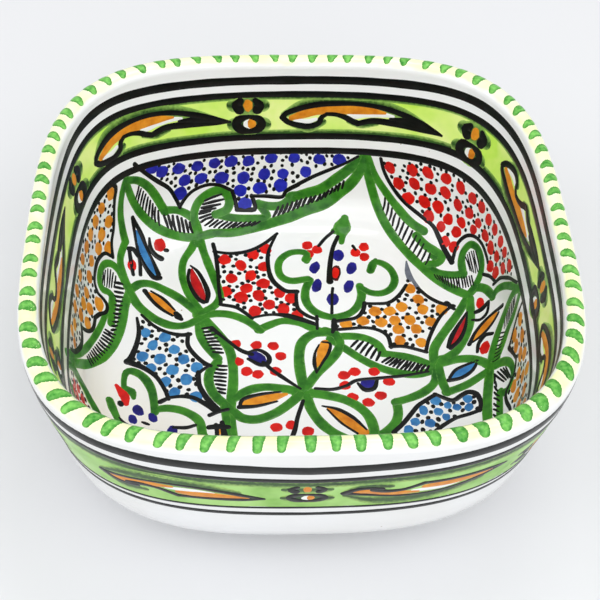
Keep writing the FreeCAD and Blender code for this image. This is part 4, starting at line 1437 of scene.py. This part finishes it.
def ring(colour, inside, low, high, rise):
    """A closed line or wash between two levels; rise is for its low and its high edge."""
    angle = np.linspace(0, 2 * math.pi, RING_STEPS, endpoint=False)
    low_rise, high_rise = (risen(angle, part) for part in rise)
    waves = sum(np.sin(n * angle + hand.uniform(*PHASES)) / n for n in RING_WAVES)
    swell = sum(np.sin(n * angle + hand.uniform(*PHASES)) for n in RING_SWELLS) / len(RING_SWELLS)
    low, high = (edge + RING_WOBBLE * waves / 2 for edge in (low + low_rise, high + high_rise))
    share = WASH_ACROSS if colour in WASHES else ACROSS
    half = (high - low) / 2 * (1 + RING_SWELL * swell)
    level = ((low + high) / 2)[:, None] + half[:, None] * share
    walk = walk_at(level, inside)
    top = next_lift(colour)
    lift = np.where(np.abs(share) > 0.99, SINK, top) * np.ones_like(level)
    edge = np.minimum(np.abs(share), 1) ** EDGE_POWER * np.ones_like(level)
    grid = np.arange(level.size).reshape(level.shape)
    after = np.roll(grid, -1, axis=0)
    faces = np.stack([grid[:, :-1], after[:, :-1], after[:, 1:], grid[:, 1:]], -1).reshape(-1, 4)
    if inside:
        faces = faces[:, ::-1]
    points = skin(angle[:, None] * np.ones_like(level), walk, lift).reshape(-1, 3)
    pour_in(colour, inside_band if inside else outside_band, points, faces, edge.ravel(), RING_TONE)


UPPER, LOWER = (UPPER_RISE, UPPER_RISE), (LOWER_RISE, LOWER_RISE)
INSIDE_RINGS = (        # colour, low and high level, and the rises of both edges
    (BLACK, 82.3, 86.6, UPPER), (BLACK, 75.5, 78.7, UPPER),
    (BLACK, 53.2, 56.6, LOWER), (BLACK, 45.2, 48.8, LOWER),
    (SHADE, 74.4, 77.6, UPPER), (SHADE, 54.8, 58.8, LOWER), (LIME, 54.6, 77.6, (LOWER_RISE, UPPER_RISE)),
)
OUTSIDE_RINGS = (
    (BLACK, 77.2, 82.4, (5.8, 5.8)), (BLACK, 70.4, 73.3, (6.2, 6.2)),
    (BLACK, 48.6, 50.2, (1.2, 1.2)), (BLACK, 42.4, 45.0, (2.8, 2.8)),
    (SHADE, 66.0, 72.2, (6.2, 6.2)), (DEEP_LIME, 48.7, 72.0, (1.2, 6.2)),
)
for inside, rings in ((True, INSIDE_RINGS), (False, OUTSIDE_RINGS)):
    for colour, low, high, rise in rings:
        ring(colour, inside, low, high, rise)
print("rings done")


# %% [markdown]
# ## Leaves and knots on the bands
# A curled leaf repeats round the lime band, now and then upside down, with a knot of two dark rings
# between.  The leaf is drawn once on its own little sheet, with its head at x = 0 and its tail at
# x = 74.5, and then stretched to each gap.  The outside leaf is slimmer and has its own strokes.
# Where black sat on wet lime it bled, so a dark green shade lies beside it.

# %% Leaf and knot
LEAF_LONG = 74.5
LEAF = [
    line(SHADE, "4 7 8.5 9 8 6 3", "2,0 10,4.6 20,6 32,6.4 44,5.2 55,2.6 65,-0.5"),
    line(SHADE, "4 6 4", "6,-5 13,-7 19,-4"),
    line(SHADE, "2 4 2.6", "31,-3.6 37,-5 44,-4"),
    line(CREAM, "1.4 3 3.6 3 2", "51,0.6 45,1 39,0.6 34,-0.8 31,-0.6"),
    line(CREAM, "2.4 3 2", "7,-3.4 12,-3.8 16,-2.6"),
    line(ORANGE, "1.4 4 5 4.8 4.6 4.4 2.6", "47,1.8 39,2.4 31,2.7 23,2.6 15,1.8 9,-0.4 5,-1.8"),
    line(BLACK, "1.2 3 3.2 2.6 2.4 2.4 2.8 3.2 3 2.4", "74.5,-3.5 66,-1.2 56,1.9 46,4.3 36,5.5 26,5.6 "
         "16,4.9 8,2.8 2.6,0.6 0.8,-1.6"),
    line(BLACK, "2.6 2.8 3 3 2.6 2", "0.8,-1.6 3.4,-4 8,-5.6 13,-6.2 17.4,-4.6 18.6,-1.6 21,0.2"),
    line(BLACK, "2 2.2 2.8 2.8", "21,0.2 25,0 29.5,-1.4 33,-3.4 35.5,-4.4"),
    line(BLACK, "2.6 3 3.4 3.4 2.4 1.2", "35.5,-4.4 42,-2.6 50,-2.8 58,-3.2 66,-3.6 74.5,-3.5"),
    line(BLACK, "1.6 3.6 3", "50,-0.8 58,-1 68,-2.4"),
]
KNOT = [
    line(SHADE, "8 12 12 8", "-6,5.2 -2,5.2 2,5.2 6,5.2"),
    line(SHADE, "8 12.5 12.5 8", "-6.4,-4.6 -2,-4.6 2,-4.6 6.4,-4.6"),
    line(BLACK, "3 5 4.4", "-3.4,7.6 -5,5.2 -4,2.8"),
    line(BLACK, "3 5 4.4", "3.4,7.6 5,5.2 4,2.8"),
    line(BLACK, "2 4.4 4.6 2.4", "0,-0.6 -4.4,-2 -5.6,-4.8 -3.4,-7.4 0.6,-8.4"),
    line(BLACK, "2 4 4.2 2.4", "0,-0.6 4.6,-2 5.8,-4.8 3.6,-7.4 0,-8.4"),
    blob(CREAM, 6.4, 5.6, 0, "0,-4.6"),
    blob(ORANGE, 4.4, 6.6, 0, "0,5.2"),
    blob(ORANGE, 4, 5.8, 0, "1.2,-4.4"),
]
OUTSIDE_LEAF = [
    line(SHADE, "3 8 9 8 5", "2,2.4 14,6 30,6.4 48,4 62,0.6"),
    line(SHADE, "3 5 4", "2,-1 10,-4.6 20,-4"),
    line(CREAM, "2 3 3.2 2", "32,1 39,0.8 46,0.4 52,-0.6"),
    line(ORANGE, "2 3.6 4 3 1.6", "5,-0.4 12,-0.6 18,0.4 26,1.6 34,2"),
    line(ORANGE, "2.4 3.8 4 3.2 1.8", "37,-1.4 44,-1.8 52,-2.2 60,-2.8 67,-3.4"),
    line(BLACK, "1.6 2.2 1.8 1.6 1.4 1.4 1.8 2.4", "74.5,-4 66,-1.6 56,1.2 46,3.2 36,4 26,3.9 "
         "14,2.4 1,0.4"),
    line(BLACK, "2.6 2.2 2 2.6", "1,0.4 6,-2.2 12,-2.9 17,-2.2"),
    line(BLACK, "3 2.6 2 2.2 2.4", "14,-1.6 20,-0.2 27,-0.6 32,-2.4 36,-4.2"),
    line(BLACK, "2.2 2 2 2.4 1.4", "36,-4.2 46,-4.3 56,-4.5 66,-4.6 74.5,-4"),
]


def on_band(group, sheet, start, long, high, middle, upside_down=False):
    """Draw a group stretched from start over a length, about a level."""
    flip = -1 if upside_down else 1
    for word, colour, size, shape in group:
        spots = shape * (long / LEAF_LONG, high * flip) + (start, middle)
        if word == "line":
            stroke(colour, [width * high for width in size], spots, sheet)
        else:
            for centre in spots:
                dot(colour, size[0] * high, size[1] * high, size[2], centre, sheet)


# Along the inside: where each leaf starts and ends, and whether it hangs upside down.
INSIDE_LEAVES = ((-686, -622, True), (-587, -518, False), (-495, -421, False), (-386, -322, True),
                 (-298, -235, False), (-218, -150, True), (-125, -60, False))
INSIDE_KNOTS = (-605, -509.5, -405.5, -313, -225, -138, -45)
LEAF_LEVEL, HANGING_LEAF_LEVEL, KNOT_LEVEL = 66.4, 67.8, 66.0
for start, end, over in INSIDE_LEAVES:
    middle = HANGING_LEAF_LEVEL if over else LEAF_LEVEL
    on_band(LEAF, inside_band, start, end - start, 1.0, middle, upside_down=over)
for place in INSIDE_KNOTS:
    on_band(KNOT, inside_band, place, LEAF_LONG, 1.0, KNOT_LEVEL)

# Outside, eight knots and leaves are evenly spaced, from the middle of the side facing the viewer.
OUTSIDE_KNOT, OUTSIDE_PITCH = OUTSIDE_WAY[-1] / 4, OUTSIDE_WAY[-1] / 8
OUTSIDE_KNOT_LEVEL, OUTSIDE_KNOT_LONG, OUTSIDE_KNOT_HIGH = 61.4, LEAF_LONG * 1.1, 0.74
OUTSIDE_LEAF_LEVEL, OUTSIDE_LEAF_LONG, OUTSIDE_LEAF_HIGH = 61.8, 60, 1.12
KNOT_TO_LEAF = 12.5     # from the middle of a knot to the head of the next leaf
LAST_KNOT, LAST_KNOT_BACK = 7, 14       # the last knot was painted this much too far back
for index in range(8):
    place = OUTSIDE_KNOT + index * OUTSIDE_PITCH
    knot = place - (LAST_KNOT_BACK if index == LAST_KNOT else 0)
    on_band(KNOT, outside_band, knot, OUTSIDE_KNOT_LONG, OUTSIDE_KNOT_HIGH, OUTSIDE_KNOT_LEVEL)
    on_band(OUTSIDE_LEAF, outside_band, place + KNOT_TO_LEAF, OUTSIDE_LEAF_LONG, OUTSIDE_LEAF_HIGH,
            OUTSIDE_LEAF_LEVEL, upside_down=index % 2 == 0)
print("leaves and knots done")

# %% [markdown]
# ## Dabs on the lip
# The lip is touched all round with watery green dabs.  Each is one press of a flat brush across the
# lip, bright in its middle and dark where the paint gathered at its border.  Its straight side is
# always nearest the viewer at the left and right, its broad end is outside at the back, and towards
# the viewer it is long and reaches over the inner edge.

# %% Lip dabs
DABS, LIP_STEP = 84, 0.5                # short steps, because the lip is round
DAB_STRAY = 0.12                        # shares of the distance between two dabs
DAB_WIDE, DAB_OVER = (3.8, 4.5), (1.4, 1.9)     # width, and reach to each side of the lip's middle
DAB_BOW = 0.5                           # how far the middle bulges at the left and right
NEAR_SLIM, NEAR_IN, NEAR_OUT = 0.2, 1.9, 1.3    # slimmer and longer towards the viewer
RIGHT_WIDE, RIGHT_SHORT = 1.6, 1.8      # wider at the near right, and short outside
INNER_END, OUTER_END = (0.84, -0.18), (0.88, 0.14)      # share of the width, and its gain at the back
# Round the two near corners the dabs keep lying across, so they slant against the lip.
SLANTS = (1.7, 214, 18), (1.1, 316, 20)         # most slant, and middle and spread in degrees
SLANT_STRAY = 0.3
pitch = LIP_WAY[-1] / DABS
for index in range(DABS):
    along = (index + hand.uniform(-DAB_STRAY, DAB_STRAY)) * pitch
    angle = float(np.interp(along % LIP_WAY[-1], LIP_WAY, LIP_ANGLES))
    far = math.sin(angle)               # 1 at the back, -1 towards the viewer
    near = max(0.0, -far) ** 2
    right = near * max(0.0, math.cos(angle))
    wide = hand.uniform(*DAB_WIDE) - NEAR_SLIM * near + RIGHT_WIDE * right
    over_in = hand.uniform(*DAB_OVER) + NEAR_IN * near
    over_out = hand.uniform(*DAB_OVER) + NEAR_OUT * near - RIGHT_SHORT * right
    slant = sum(most * math.exp(-((math.degrees(angle) % 360 - middle) / spread) ** 2)
                for most, middle, spread in SLANTS)
    slant += hand.uniform(-SLANT_STRAY, SLANT_STRAY)
    widths = [wide * (INNER_END[0] + INNER_END[1] * far), wide, wide * (OUTER_END[0] + OUTER_END[1] * far)]
    bow = DAB_BOW * math.cos(angle)
    spots = np.array([(along + slant, over_in), (along + bow, 0), (along - slant, -over_out)])
    stroke(DAB, widths, spots, lip_sheet, LIP_STEP)
print(DABS, "dabs")

# %% [markdown]
# ## Pour the pots
# Every pot of strokes becomes one mesh with its two attributes, shaded smooth and riding on the
# bowl.

# %% Pieces of paint
SHEETS = {              # the end of a piece's name, and the slot of the glaze under it
    floor_sheet: ("inside", SLOT_OF["inside_glaze"]),
    inside_band: ("inside_band", SLOT_OF["inside_glaze"]),
    outside_band: ("outside_band", SLOT_OF["outside_glaze"]),
    lip_sheet: ("lip", SLOT_OF["rim_glaze"]),
}
for (colour, sheet), rows in pots.items():
    place, slot = SHEETS[sheet]
    starts = np.cumsum([0] + [len(row[0]) for row in rows])
    faces = [[int(corner) + int(start) for corner in face]
             for start, row in zip(starts, rows) for face in row[1]]
    mesh = bpy.data.meshes.new(f"{colour}_paint_{place}")
    mesh.from_pydata(np.vstack([row[0] for row in rows]).tolist(), [], faces)
    for name, column in (("edge", 2), ("tone", 3)):
        values = np.concatenate([row[column] for row in rows])
        mesh.attributes.new(name, "FLOAT", "POINT").data.foreach_set("value", values)
    mesh.shade_smooth()
    piece = bpy.data.objects.new(mesh.name, mesh)
    scene.collection.objects.link(piece)
    give(piece, PAINTS[colour])
    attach(piece, "root")
    print(f"{piece.name}: {len(rows)} strokes, {len(faces)} faces")
